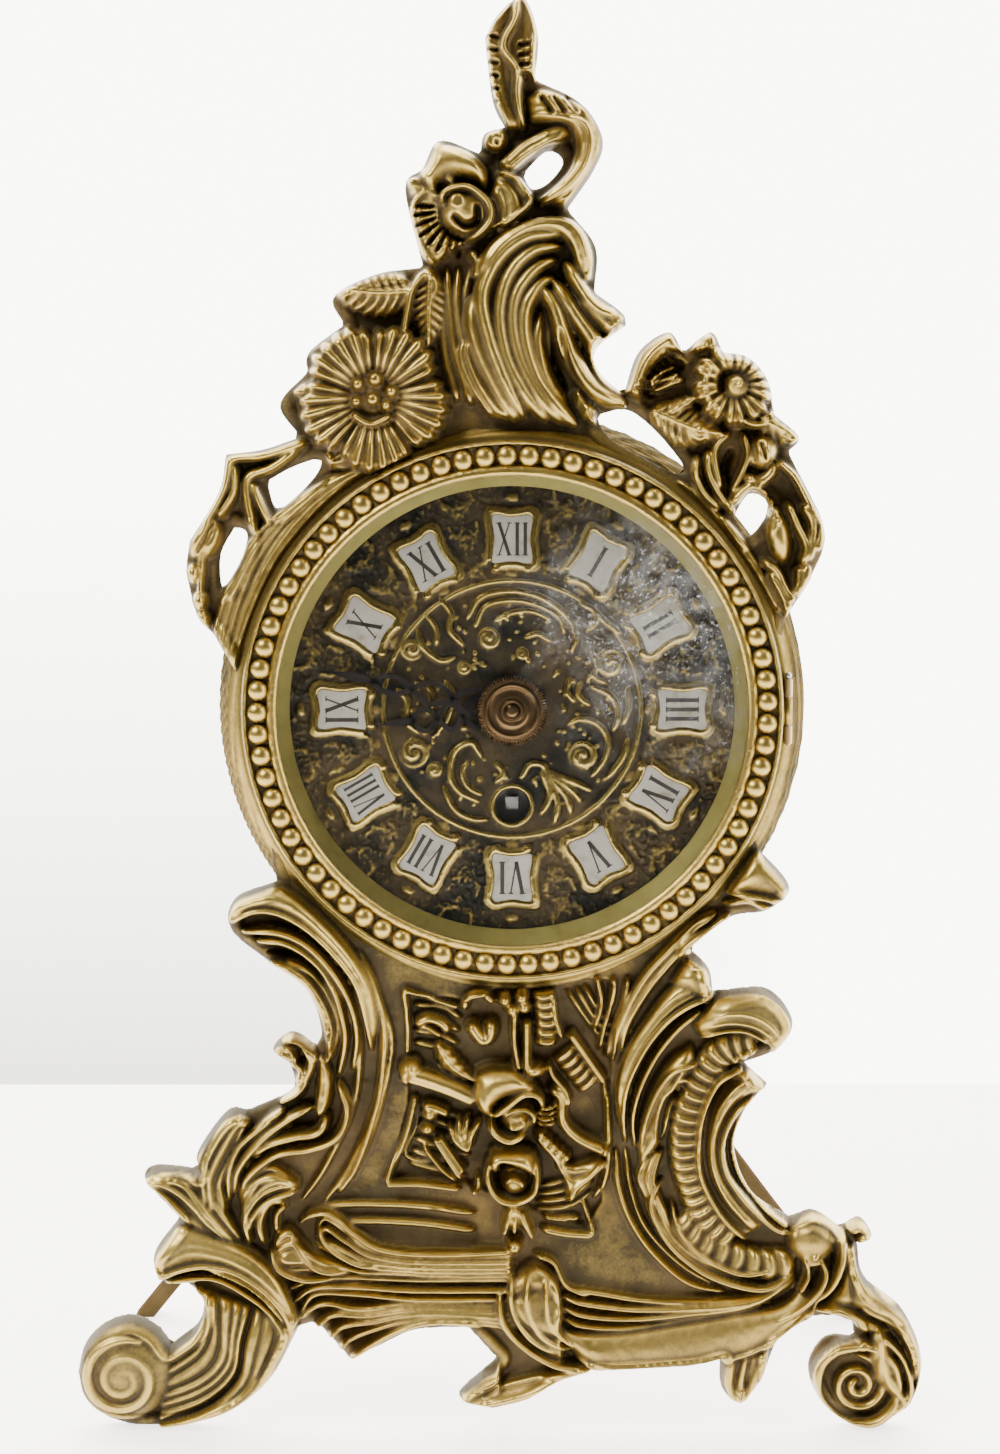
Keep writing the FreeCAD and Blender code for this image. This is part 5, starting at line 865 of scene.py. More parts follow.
def right_flowers(r):
    r.fan([(25, 213), (26.5, 218), (29.5, 222.5), (33.5, 225), (35, 223)],
          [(28.5, 211), (30, 216.5), (32.5, 219.5), (35, 221), (37, 220.5)], 1, 5, 0.4, crown=0.3)
    for k in range(7):
        r.groove([(27 + 1.1 * k, 214 + 1.25 * k), (29.6 + 1 * k, 213 + 1.05 * k)], 0.9, 2.2)
    r.groove([(30, 212), (33.5, 216.5), (37, 219)], 4, 2.6)
    for line in (
        [(30, 214), (33, 215.5), (36, 216.5)],
        [(30.5, 213), (34, 214.5), (37, 215.5)],
        [(30, 215), (33, 217), (35.5, 218)],
    ):
        r.stroke(line, 1.3, 5.4)
    r.fan([(38, 220.5), (39, 223.5), (41.5, 225)], [(44, 221.5), (43.5, 223.5), (42, 225)], 2, 5.2, 1.4,
          start=0.3)
    r.leaf((30.5, 209.5), (45, 204.5), 9, 5.2, bend=-0.05, veins=9, depth=1.4)
    r.leaf((33.5, 208.5), (39.5, 212), 4, 5, veins=4)
    r.coil(40, 205.5, 2.6, 1.5, 6.6, 1.4)
    r.bloom(47, 214.5, 8.6, 9, 7.8, ribs=2, start=0.2, cup=0.2)
    r.stroke([(42.5, 219), (41, 215), (42, 211), (45, 209)], 2.4, 7.2)
    r.dome(47.5, 214, 3.4, 7, 0.8, 0.9)
    r.coil(47.5, 214.5, 2.6, 1.5, 8.8, 2)
    r.groove([(44.5, 213), (44.5, 216), (46.5, 217)], 1.6, 3.4)
    r.stroke([(47.5, 208), (51, 206.5), (54, 207)], 2.2, 6.6)
    r.leaf((52, 208), (61, 203.5), 6.5, 5.6, veins=5)
    r.dome(53, 201, 4, 6.8, 0.75, 1.3)
    r.groove([(52.5, 203), (53.5, 199.5)], 0.8, 2.2)
    r.groove([(51, 202.5), (51.5, 199)], 0.8, 1.8)
    for line in (
        [(40, 200.5), (39.5, 197), (41, 193), (44.5, 189.5)],
        [(42, 201.5), (42, 197.5), (44, 193), (47.5, 188.5)],
        [(46.5, 205), (43.5, 202), (43.5, 198), (45, 193.5)],
        [(49, 205), (50, 200.5), (48.5, 196), (46.5, 192.5)],
    ):
        r.stroke(line, 1.9, 4.6)
    r.stroke([(46.5, 190.5), (49.5, 193.5), (54, 196), (55.5, 199)], 3, 4.8)
    r.groove([(47, 201.5), (45.5, 197), (46, 193.5)], 2.6, 3)
    for k in range(6):
        r.dome(50.5 + 1.15 * k, 195.5 - 1.7 * k, 1.5, 5.8)
    r.stroke([(55.5, 199.5), (59.5, 196), (62, 191.5), (65, 186.5)], 1.6, 5.2)
    r.dome(56.5, 184, 6.2, 5.2, 0.42, 1.75)
    for line in (
        [(58, 191), (60, 186.5), (62, 182), (61, 178)],
        [(61, 190.5), (63, 187), (63, 182.5), (62.5, 179)],
        [(62.5, 190), (65, 187), (65, 184), (64, 181)],
        [(60.5, 178), (60.5, 175), (60, 172)],
        [(62, 178.5), (62, 175), (60.5, 171.5)],
        [(53, 179), (56, 177), (57.5, 174), (59.5, 170.5)],
        [(54.5, 177), (57, 172.5), (59.5, 167), (61.5, 161.5)],
    ):
        r.stroke(line, 2.2, 5.4)
    r.fan([(39, 194.5), (43.5, 190), (49, 184), (53.5, 177), (58, 168.5)],
          [(36, 195), (40.5, 190.5), (45.5, 184.5), (51, 177), (56, 168.5)], 4, 2.8, 1.2, crown=0.2)


AREAS = [left_foot, base_left, base_right, right_foot, waist_left, waist_right, panel_frame, trophy,
         left_stems, daisy, crest, rose, plume, right_flowers]


# ---------------------------------------------------------------- the casting
GRID = 0.155
MESH_STEP = 2                     # grid cells for each side of a face on the front
BACK_STEP = 8
WALL = 2.6
RIM_WIDTH = 2.8                   # the rounded rim that follows the outline of the lower casting
RIM_HEIGHT = 1.6
RIM_TOP_Z = 112.0
RIM_ABOVE_TOP = 0.55             # share of the rim's height above RIM_TOP_Z
RIM_ENDS_AT = 5.0                # relief as high as this hides the rim
EDGE_DROP = 1.6
EDGE_RISE = 9.6
EDGE_WIDTH = 3.0
EDGE_REACH = 3.6
FACE_BLUR = 1.2
BACK_BLUR = 9.0
BACK_LIMIT_Y = -21.0
THINNEST = 1.2
BACK_SINK = 0.15                 # the back lies this far inside the edge walls
BACK_SHADE = 0.24
WALL_SHADE = 0.3


def base_y(z):
    """Front of the plain sheet: upright beside the dial, forward at the feet."""
    return np.interp(z, [0, 16, 32, 50, 72, 300], [-33.6, -33.6, -32.0, -29.0, -27.0, -26.8])


def rolled_edge(d):
    """How far the face may stand up at a distance d from the outline."""
    return -EDGE_DROP + EDGE_RISE * np.sqrt(1 - (1 - np.minimum(d / EDGE_WIDTH, 1)) ** 2)


def casting_relief():
    """The whole front face: height map, outline distance and shade."""
    r = Relief(-90, 90, -2, 293, GRID)
    for area in AREAS:
        area(r)
    lines = [np.vstack([smooth_line(stroke) for stroke in OUTLINE])]
    solid = r.filled(lines[0])
    for hole in PIERCINGS:
        line = smooth_line(hole)
        lines.append(line)
        solid &= ~r.filled(line[:-1])
    x, z = np.meshgrid(r.xs, r.zs)
    from_dial = np.hypot(x - DIAL_X, z - DIAL_Z)
    solid &= from_dial > DIAL_OPENING_R
    solid &= z > 0.0
    lines.append(circle(DIAL_OPENING_R))
    lines.append(smooth_line([(-90, 0.0), (90, 0.0)]))
    gap = r.distance(lines[:-2], EDGE_REACH)
    to_cut = np.minimum(np.abs(from_dial - DIAL_OPENING_R), np.abs(z))
    away = np.where(solid, 1.0, -1.0) * np.minimum(gap, to_cut)
    raised = r.height - r.cuts
    rim = np.sqrt(np.maximum(0, 1 - ((gap - RIM_WIDTH / 2) / (RIM_WIDTH / 2)) ** 2))
    rim = rim * np.where(z < RIM_TOP_Z, 1.0, RIM_ABOVE_TOP)
    rimmed = raised + RIM_HEIGHT * rim * (raised < RIM_ENDS_AT)
    face = blurred(np.minimum(rimmed, rolled_edge(np.where(solid, gap, 0))), FACE_BLUR, solid)
    raised = blurred(raised + 1.5 * rim, FACE_BLUR, solid)
    ripple = np.random.default_rng(7).normal(0, 1, face.shape)
    face += 0.10 * blurred(ripple, 3.0) * 3.0 + 0.2 * blurred(ripple, 9.0) * 4.0
    y = base_y(z) - face
    y = np.maximum(y, FRONT_LIMIT_Y)
    y = np.where(from_dial < BEZEL_CLEARANCE_R, np.maximum(y, BEHIND_BEZEL_Y), y)
    # Painted shade from the height map: darker in the hollows, partly patina and partly painted shade, and
    # lighter on raised parts and rims as a painted highlight.
    fine = raised - blurred(raised, 4.0, solid)
    broad = raised - blurred(raised, 14.0, solid)
    lifted = 0.12 * np.clip(raised / 3.0, 0, 1)
    patina_and_painted_shade = np.clip(0.27 + lifted + 0.68 * fine + 0.16 * broad, 0, 1)
    return r, y, away, patina_and_painted_shade


def sheet(r, y, away, patina_and_painted_shade, step, low, high):
    """Places, quads and shade of the part of a face between two heights, cut to the outline."""
    away = away[::step, ::step]
    xs = r.xs[::step]
    zs = r.zs[::step]
    rows, cols = away.shape
    centre = 0.25 * (away[:-1, :-1] + away[1:, :-1] + away[:-1, 1:] + away[1:, 1:])
    mid_z = 0.5 * (zs[:-1] + zs[1:])[:, None]
    keep = (centre > 0) & (mid_z >= low) & (mid_z < high)
    used = np.zeros((rows, cols), int)
    for dj in (0, 1):
        for di in (0, 1):
            used[dj:rows - 1 + dj, di:cols - 1 + di] += keep
    x, z = np.meshgrid(xs, zs)
    slope_z, slope_x = np.gradient(away, step * r.pitch)
    steep = slope_x ** 2 + slope_z ** 2 + 0.05
    near = (used > 0) & (np.abs(away) < 1.2 * step * r.pitch)
    rim = near & (used < 4)
    x = np.where(rim, x - away * slope_x / steep, x)
    z = np.where(rim, np.maximum(z - away * slope_z / steep, 0.02), z)
    number = np.cumsum(used.ravel() > 0).reshape(rows, cols) - 1
    j, i = np.nonzero(keep)
    quads = np.stack([number[j, i], number[j, i + 1], number[j + 1, i + 1], number[j + 1, i]], axis=-1)
    chosen = used > 0
    x = x[chosen]
    z = z[chosen]
    places = np.column_stack([x, sampled(r, y, x, z), z])
    return places, quads, sampled(r, patina_and_painted_shade, x, z)


def rim_edges(quads):
    """Directed edges that belong to one quad only."""
    edges = np.vstack([quads[:, [k, (k + 1) % 4]] for k in range(4)])
    keys = edges.min(axis=1) * 10 ** 7 + edges.max(axis=1)
    order, counts = np.unique(keys, return_counts=True)
    return edges[np.isin(keys, order[counts == 1])]


def relief_piece(name, r, y, back_y, away, patina_and_painted_shade, step, back_step, low=-1e3, high=1e3):
    """A worked sheet with its edge walls and a plain back, between two heights."""
    places, quads, shade = sheet(r, y, away, patina_and_painted_shade, step, low, high)
    behind = sampled(r, back_y, places[:, 0], places[:, 2])
    edges = rim_edges(quads)
    at_seam = np.zeros(len(places), bool)
    for level in (low, high):
        at_seam |= np.abs(places[:, 2] - level) < 0.6 * step * r.pitch
    edges = edges[~(at_seam[edges[:, 0]] & at_seam[edges[:, 1]])]
    rim = np.unique(edges)
    where = np.full(len(places), -1)
    where[rim] = len(places) + np.arange(len(rim))
    back_rim = places[rim].copy()
    back_rim[:, 1] = behind[rim]
    walls = np.stack([edges[:, 1], edges[:, 0], where[edges[:, 0]], where[edges[:, 1]]], axis=-1)
    # Painted shade: the back and the edge walls each take one flat dark shade.
    plain = 0 * patina_and_painted_shade + BACK_SHADE
    back_places, back_quads, back_shade = sheet(r, back_y - BACK_SINK, away, plain, back_step, low, high)
    start = len(places) + len(rim)
    verts = np.vstack([places, back_rim, back_places])
    faces = np.vstack([quads, walls, back_quads[:, ::-1] + start])
    values = np.concatenate([shade, WALL_SHADE + 0 * rim, back_shade])
    return mesh_object(name, verts, faces, values=values)


def casting():
    """The front casting's worked sheet, in three pieces from the base to the crest."""
    r, y, away, patina_and_painted_shade = casting_relief()
    solid = away > 0
    back_y = np.minimum(blurred(y, BACK_BLUR, solid) + WALL, BACK_LIMIT_Y)
    back_y = np.maximum(back_y, y + THINNEST)
    cuts = (-5.0, 45.0, 165.0, 300.0)
    names = ("casting_base", "casting_waist", "casting_crest")
    pieces = []
    for name, low, high in zip(names, cuts[:-1], cuts[1:]):
        item = relief_piece(name, r, y, back_y, away, patina_and_painted_shade, MESH_STEP, BACK_STEP, low, high)
        pieces.append(stands_for(item, "case", "cast_brass", "front_casting"))
    return pieces


RING_STEPS = 900


def casting_ring():
    """The flared ring round the drum, with long leaf strands that run round it."""
    profile = [(51.0, -28.0), (55.6, -28.0), (56.3, -27.9), (57.2, -27.0), (58.2, -25.0), (59.2, -21.5),
               (60.0, -18.0), (60.3, -14.5), (60.1, -11.6), (59.4, -11.0), (54.3, -11.0), (54.2, -26.2),
               (51.0, -26.2), (51.0, -28.0)]
    dense = smooth_line(profile[1:9], 60)
    outline = np.vstack([profile[:1], dense, profile[9:]])

    def strands(angle, share):
        on_face = np.clip((share - 0.06) * 1.4, 0, 1) * (share < 0.84)
        lean = 0.9 * np.cos(angle - 2.4) + 0.5 * np.cos(2 * angle + 0.6)
        wave = np.abs(np.sin(np.pi * (8.5 * share + 2.2 * lean)))
        return -1.0 * (1 - wave ** 0.7) * np.minimum(1, 6 * on_face) * (share < 0.84)

    verts, faces = turned_mesh(outline, RING_STEPS, strands)
    angle = np.linspace(0, TAU, RING_STEPS, endpoint=False)[:, None]
    share = np.linspace(0, 1, len(outline))[None, :]
    # Painted shade: darker in the grooves between the strands.
    shade = 0.60 + 0.5 * strands(angle, share)
    item = mesh_object("casting_ring", verts, faces[:, ::-1], values=shade.ravel())
    return stands_for(item, "case", "cast_brass", "front_casting")


# ---------------------------------------------------------------- bezel
BEZEL_PROFILE = [
    (50.1, -28.3), (55.2, -28.3), (55.3, -30.6), (55.1, -31.7), (54.75, -32.3), (54.3, -32.2),
    (54.1, -31.5), (53.9, -31.1), (50.4, -31.1), (50.1, -31.5), (49.8, -32.2), (49.2, -32.6), (48.5, -32.6),
    (48.1, -32.2), (48.0, -31.6), (48.0, -31.35), (50.1, -31.35), (50.1, -28.3),
]
BEAD_COUNT = 73
BEAD_CIRCLE_R = 51.9
BEAD_R = 2.15
BEAD_Y = -31.4
BEZEL_STEPS = 1080
PIT_DEPTH = 0.035
HINGE_X = DIAL_X + 56.3
HINGE_Y = -28.9
KNUCKLE_R = 0.9
KNUCKLE_HALF = 2.7
BAR_STEPS = 20


def bead_mesh(x, z, radius, y):
    """A rounded bead with a worn, slightly flattened top."""
    around = 20
    a = np.linspace(0, TAU, around, endpoint=False)[None, :]
    e = np.append(np.linspace(0, TAU / 4, 9)[:-1], 0.992 * TAU / 4)[:, None]
    flat = radius * np.cos(e) * np.ones_like(a)
    top = y - 0.95 * radius * np.sin(e) + 0 * a
    places = np.stack([x + flat * np.cos(a), top, z + flat * np.sin(a)], axis=-1)
    # Painted shade: each bead is lighter at its top and darker towards its edge.
    shade = (0.55 + 0.4 * np.sin(e) + 0 * a).ravel()
    return places.reshape(-1, 3), grid_faces(9, around, close_cols=True), shade


def round_bar(x, y, z0, z1, radius):
    """An upright round bar, closed at both ends, as places and quads."""
    a = np.linspace(0, TAU, BAR_STEPS, endpoint=False)
    rings = [(radius * 0.02, z0), (radius, z0), (radius, z1), (radius * 0.02, z1)]
    places = [np.column_stack([x + q * np.cos(a), y + q * np.sin(a), z + 0 * a]) for q, z in rings]
    return np.vstack(places), grid_faces(4, BAR_STEPS, close_cols=True)


def bezel():
    """The beaded ring that holds the glass, with its hinge leaf."""
    corners = [np.array(BEZEL_PROFILE[k:k + 2], float) for k in range(len(BEZEL_PROFILE) - 1)]
    line = np.vstack([smooth_line(pair, 4)[:-1] for pair in corners] + [np.array(BEZEL_PROFILE[-1:])])
    random = np.random.default_rng(3)
    pits = random.normal(0, 1, (BEZEL_STEPS, len(line)))

    verts, faces = turned_mesh(line, BEZEL_STEPS, lambda angle, share: PIT_DEPTH * pits)
    # Painted shade: the ring is darker towards the back and in the channel beside the beads, and lighter on
    # its front lips.
    depth = np.interp(-line[:, 1], [28.3, 31.0, 31.3, 32.0, 32.6], [0.3, 0.16, 0.22, 0.62, 0.85])
    shade = np.broadcast_to(depth, (BEZEL_STEPS, len(line))).ravel()
    parts = [(verts, faces[:, ::-1], shade)]
    for k in range(BEAD_COUNT):
        a = TAU * (k + 0.5) / BEAD_COUNT
        x = DIAL_X + BEAD_CIRCLE_R * math.cos(a)
        z = DIAL_Z + BEAD_CIRCLE_R * math.sin(a)
        parts.append(bead_mesh(x, z, BEAD_R, BEAD_Y))
    low = DIAL_Z - KNUCKLE_HALF
    high = DIAL_Z + KNUCKLE_HALF
    knuckle, bar_faces = round_bar(HINGE_X, HINGE_Y, low, high, KNUCKLE_R)
    parts.append((knuckle, bar_faces, 0.6))
    parts.append(box_mesh(HINGE_X - 2.2, HINGE_X - 0.2, HINGE_Y - 0.5, HINGE_Y + 0.3, low, high))
    places, faces, shade = joined(parts)
    item = mesh_object("bezel_beaded", places, faces, values=shade)
    return stands_for(item, "bezel", "cast_brass", "bezel_ring")


def box_mesh(x0, x1, y0, y1, z0, z1):
    """A plain block as places, quads and shade."""
    places = np.array([(x, y, z) for z in (z0, z1) for y in (y0, y1) for x in (x0, x1)], float)
    faces = np.array([(0, 2, 3, 1), (4, 5, 7, 6), (0, 1, 5, 4), (2, 6, 7, 3), (0, 4, 6, 2), (1, 3, 7, 5)])
    return places, faces, 0.6


def glass():
    """A slightly domed watch glass behind the bezel lip."""
    outer = [(0.05, -31.15), (15.0, -31.12), (30.0, -31.05), (44.0, -30.9), (49.9, -30.7)]
    inner = [(49.9, -30.1), (44.0, -30.2), (30.0, -30.35), (15.0, -30.42), (0.05, -30.45)]
    verts, faces = turned_mesh(np.vstack([smooth_line(outer, 24), smooth_line(inner, 24)]), 180)
    item = mesh_object("glass_domed", verts, faces[:, ::-1])
    return stands_for(item, "bezel", "glass", "bezel_glass")


# ---------------------------------------------------------------- dial
DIAL_FRONT_Y = -24.8
DIAL_BACK_Y = -24.0
DIAL_R = 52.7
MEDALLION_R = 26.5
PLAQUE_CIRCLE_R = 35.0
WINDING_DROP = 20.0
WINDING_HOLE_R = 3.5
DIAL_STEP = 2
DIAL_BACK_STEP = 8
DIAL_GRID = 0.15
DIAL_REACH = 52.9                # half width of the field that the dial is worked in
DIAL_LIMIT_Y = -25.6             # the relief keeps behind the hands
CENTRE_HOLE_R = 3.2
RIDGE_WIDTH = 0.55
COLLAR_R = 4.1
COLLAR_WIDTH = 0.5
PLAQUE_HALF_W = 4.3
PLAQUE_HALF_H = 5.2
PLAQUE_DIP = 0.5                 # how far the sides are drawn in


def around(radius, angle):
    """The place at a radius and angle round the dial centre."""
    return DIAL_X + radius * math.cos(angle), DIAL_Z + radius * math.sin(angle)


def plaque_line(half_width, half_height, angle):
    """Outline of an hour plaque with drawn-in sides and soft corners, turned to its hour."""
    w = half_width
    h = half_height
    dip = PLAQUE_DIP
    c = 0.24 * w
    local = [(-w + c, -h), (0, -h + dip), (w - c, -h), (w, -h + c), (w - dip, 0), (w, h - c),
             (w - c, h), (0, h - dip), (-w + c, h), (-w, h - c), (-w + dip, 0), (-w, -h + c), (-w + c, -h)]
    turned = []
    for x, z in local:
        z = z + PLAQUE_CIRCLE_R
        turned.append((DIAL_X + x * math.cos(angle) + z * math.sin(angle),
                       DIAL_Z + z * math.cos(angle) - x * math.sin(angle)))
    return smooth_line(turned, 120)


def scrollwork(r):
    """Asymmetric rococo scrolls of the medallion, in millimetres from the dial centre."""
    def line(points, width, height):
        r.stroke([(DIAL_X + 1.05 * x, DIAL_Z + 1.05 * z) for x, z in points], 1.25 * width, height,
                 start=0.25, end=0.25)

    # great scroll over the centre
    line([(-8.8, 17.6), (-6, 22), (0, 23.2), (6, 21.8), (10.8, 18.2), (12.4, 14.4), (11.6, 11.2)], 1.3, 0.8)
    line([(-7.2, 16), (-5.2, 20.2), (0, 21.4), (5.2, 20.4), (9.2, 18), (10.2, 14.8)], 1.1, 0.75)
    line([(-3.6, 17.2), (0, 18.9), (4, 19.2), (7.6, 17.6)], 1, 0.7)
    line([(2.4, 14), (5, 14.8), (7.8, 13.2)], 1.2, 0.75)
    # shell curls at the right
    line([(13, 21), (16, 19.4), (18.4, 17), (21.4, 14.8)], 1.2, 0.75)
    line([(15.6, 20), (16.4, 17.2), (14.4, 15.2)], 1, 0.7)
    line([(15.4, 11.6), (16.6, 8.8), (16, 6.6), (18.6, 5)], 1.2, 0.75)
    line([(11.4, 6.4), (10.8, 3.6), (12.4, 1.2)], 1.1, 0.75)
    line([(13.4, 5.6), (13, 2.8), (15.4, 0.6)], 1.1, 0.75)
    line([(15.2, 4.6), (19.4, 2.6), (20.8, -1.2), (19.8, -4.4)], 1.2, 0.75)
    line([(22.6, 4.6), (22.8, 0.4), (21.8, -3.2)], 1.1, 0.7)
    line([(10.8, -3), (13.2, -2), (16.6, -2.8), (18.8, -6), (18, -10), (15.6, -13.4)], 1.2, 0.75)
    line([(22.8, -5.6), (21.6, -9.6), (18.8, -13.6)], 1.3, 0.75)
    # spiky shell at the lower right
    for tip in ((5.6, -21), (8.4, -22.6), (11.6, -20.8), (13.6, -18.4), (15.6, -16.2)):
        line([(5.6, -11.8), (0.5 * tip[0] + 4.6, 0.5 * tip[1] - 6.4), tip], 1.3, 0.75)
    line([(1.8, -13.8), (3.6, -10.8), (6.6, -11.6), (6.4, -15)], 1.2, 0.8)
    # double scroll at the lower left
    line([(-6, -9.6), (-8, -6.6), (-11.2, -8.2), (-12.2, -12.4), (-10.6, -16), (-6.4, -18.4)], 1.3, 0.8)
    line([(-8.6, -10), (-9.8, -12.6), (-8.6, -15.4), (-5.8, -17)], 1, 0.7)
    line([(-13.6, -15), (-11.4, -19.6), (-8, -21.6), (-4.6, -21.8)], 1.2, 0.75)
    line([(-3.4, -10.4), (-1.8, -12.6), (-3.4, -14.6)], 1.1, 0.7)
    # sprays at the left
    line([(-14.4, 22), (-12, 19), (-12.2, 15.6), (-9.4, 12.4)], 1.2, 0.75)
    line([(-16.8, 18.6), (-14.8, 15.6), (-14.8, 12.4)], 1, 0.7)
    line([(-18.6, 15.8), (-17.4, 12.2), (-14, 9.6), (-11, 10.2)], 1.2, 0.75)
    line([(-22.8, 4.2), (-20.6, 1.8), (-20.8, -2.2), (-18.2, -4.8)], 1.2, 0.75)
    line([(-17.6, 5.6), (-15.6, 2.6), (-16.4, -1)], 1.1, 0.7)
    line([(-13.2, 5.8), (-11.6, 2.4), (-12.6, -1.6), (-14.8, -4.8)], 1.2, 0.75)
    for x, z, size, hand in (
        (-4.8, 14.6, 2.5, 1), (20.2, 9.6, 3.3, -1), (14.6, -9.6, 3.2, 1), (-20.2, -9, 3.3, -1),
        (-20.6, 12.4, 2.4, 1), (-16, -12.6, 1.9, 1), (-9.8, 8.6, 1.6, -1), (2, 11.4, 1.5, 1),
    ):
        r.coil(DIAL_X + x, DIAL_Z + z, size, 1.5, 0.8, 0.45, start=x, hand=hand)
    random = np.random.default_rng(5)
    for _ in range(150):
        (x, z) = around(random.uniform(10.5, 24), random.uniform(0, TAU))
        r.dome(x, z, random.uniform(0.35, 0.75), random.uniform(0.35, 0.65), 0.7, random.uniform(0, TAU))


def hour_ground(r):
    """Frames round the plaques and small leaf sprays between them."""
    for hour in range(12):
        turn = TAU * hour / 12
        out = TAU / 4 - turn
        for size, width, rise in ((2.4, 1.0, 0.45), (0.8, 1.5, 0.7)):
            line = plaque_line(PLAQUE_HALF_W + size / 2, PLAQUE_HALF_H + size / 2, turn)
            r.stroke(line[::6], width, rise, "round", 0, 0)
        for side in (-1, 1):
            x, z = around(29.2, out + side * 0.11)
            r.dome(x, z, 1.1, 0.8)
        for radius in (28.0, 43.5):
            x, z = around(radius, out)
            r.dome(x, z, 1.5, 0.42, 0.6, out + TAU / 4)
        gap = out + TAU / 24
        for radius, size in ((29.5, 1.7), (36.0, 2.3), (42.5, 2.0)):
            x, z = around(radius, gap)
            r.coil(x, z, size, 1.4, 0.22, 0.12, start=gap)
            for side in (-1, 1):
                tip = around(radius + size + 1.6, gap + side * 0.075)
                r.leaf((x, z), tip, 1.6, 0.22, bend=0.25 * side, veins=3, depth=0.08)


def dial():
    """The embossed dial plate with its winding hole."""
    reach = DIAL_REACH
    r = Relief(DIAL_X - reach, DIAL_X + reach, DIAL_Z - reach, DIAL_Z + reach, DIAL_GRID)
    scrollwork(r)
    hour_ground(r)
    x, z = np.meshgrid(r.xs, r.zs)
    radius = np.hypot(x - DIAL_X, z - DIAL_Z)
    hole = np.hypot(x - DIAL_X, z - DIAL_Z + WINDING_DROP)
    rim = 0.55 * np.exp(-((radius - MEDALLION_R) / RIDGE_WIDTH) ** 2)
    collar = 0.6 * np.exp(-((hole - COLLAR_R) / COLLAR_WIDTH) ** 2)
    height = np.where(hole < 5.0, 0, r.height)
    height = np.maximum.reduce([height, rim, collar])
    random = np.random.default_rng(11)
    speckle = blurred(random.normal(0, 1, height.shape), 1.2)
    outside = np.clip((radius - 26) / 2, 0, 1)
    height = height + (0.08 + 0.24 * outside * (height < 0.3)) * speckle
    height = blurred(height, 0.8)
    y = np.maximum(DIAL_FRONT_Y - height, DIAL_LIMIT_Y)
    away = np.minimum(np.minimum(DIAL_R - radius, radius - CENTRE_HOLE_R), hole - WINDING_HOLE_R)
    # Painted shade: raised relief is lighter as a painted highlight, and the sunk ground is darker, partly
    # painted shade and partly patina.
    patina_and_painted_shade = np.clip(0.04 + 0.85 * height + 1.5 * (height - blurred(height, 5.0)), 0, 1)
    item = relief_piece("dial_embossed", r, y, DIAL_BACK_Y + 0 * y, away, patina_and_painted_shade,
                        DIAL_STEP, DIAL_BACK_STEP)
    return stands_for(item, "case", "dial_brass", "dial_plate")


def dial_feet():
    """Posts that hold the dial to the front plate."""
    parts = []
    for degrees in (45, 135, 270):
        x, z = around(33.0, math.radians(degrees))
        places, faces = round_bar(0, 0, DIAL_BACK_Y, -12.5, 1.0)
        upright = np.column_stack([places[:, 0] + x, places[:, 2], places[:, 1] + z])
        parts.append((upright, faces, 0.5))
    places, faces, shade = joined(parts)
    item = mesh_object("dial_feet", places, faces[:, ::-1], values=shade)
    return stands_for(item, "case", "dial_brass", "dial_plate")


def plaques():
    """Twelve slightly cushioned enamel-white plaques."""
    parts = []
    for hour in range(12):
        turn = TAU * hour / 12
        middle = np.array([DIAL_X + PLAQUE_CIRCLE_R * math.sin(turn),
                           DIAL_Z + PLAQUE_CIRCLE_R * math.cos(turn)])
        outer = plaque_line(PLAQUE_HALF_W, PLAQUE_HALF_H, turn)[:-1]
        rows = []
        for share, lift in ((1.0, 0.0), (1.0, 0.30), (0.94, 0.42), (0.8, 0.47), (0.5, 0.5), (0.02, 0.5)):
            ring = middle + (outer - middle) * share
            rows.append(np.column_stack([ring[:, 0], np.full(len(ring), DIAL_FRONT_Y - lift), ring[:, 1]]))
        parts.append((np.vstack(rows), grid_faces(len(rows), len(outer), close_cols=True), 0.5))
    places, faces, shade = joined(parts)
    item = mesh_object("hour_plaques", places, faces[:, ::-1], values=shade)
    return stands_for(item, "case", "plaque_white", "dial_cartouches")


HOURS = ("XII", "I", "II", "III", "IV", "V", "VI", "VII", "VIII", "IX", "X", "XI")
NUMERAL_H = 6.8
LETTER_WIDTHS = {"I": 1.75, "V": 3.7, "X": 3.9}


def letter_bars(letter):
    """Strokes of one letter as ((x, z), (x, z), thickness), 1 high and centred."""
    serif = 0.10
    if letter == "I":
        return [((0, 0), (0, 1), 0.75), ((-0.62, 0.02), (0.62, 0.02), serif),
                ((-0.62, 0.98), (0.62, 0.98), serif)]
    if letter == "V":
        return [((-1.1, 1), (0.1, 0), 0.72), ((1.15, 1), (0.1, 0), 0.30),
                ((-1.7, 0.98), (-0.5, 0.98), serif), ((0.65, 0.98), (1.6, 0.98), serif)]
    return [((-1.15, 1), (1.15, 0), 0.72), ((1.15, 1), (-1.15, 0), 0.30),
            ((-1.75, 0.98), (-0.6, 0.98), serif), ((0.65, 0.98), (1.65, 0.98), serif),
            ((-1.65, 0.02), (-0.65, 0.02), serif), ((0.6, 0.02), (1.75, 0.02), serif)]


def flat_bar(start, end, thick, y0, y1):
    """A flat bar between two (x, z) places, as places and quads."""
    a = np.array(start, float)
    b = np.array(end, float)
    along = (b - a) / np.hypot(*(b - a))
    side = np.array([-along[1], along[0]]) * thick / 2
    ring = [a - side, b - side, b + side, a + side]
    places = np.array([(p[0], y, p[1]) for y in (y0, y1) for p in ring])
    faces = np.array([(0, 1, 2, 3), (7, 6, 5, 4), (0, 4, 5, 1), (1, 5, 6, 2), (2, 6, 7, 3), (3, 7, 4, 0)])
    return places, faces, 0.5


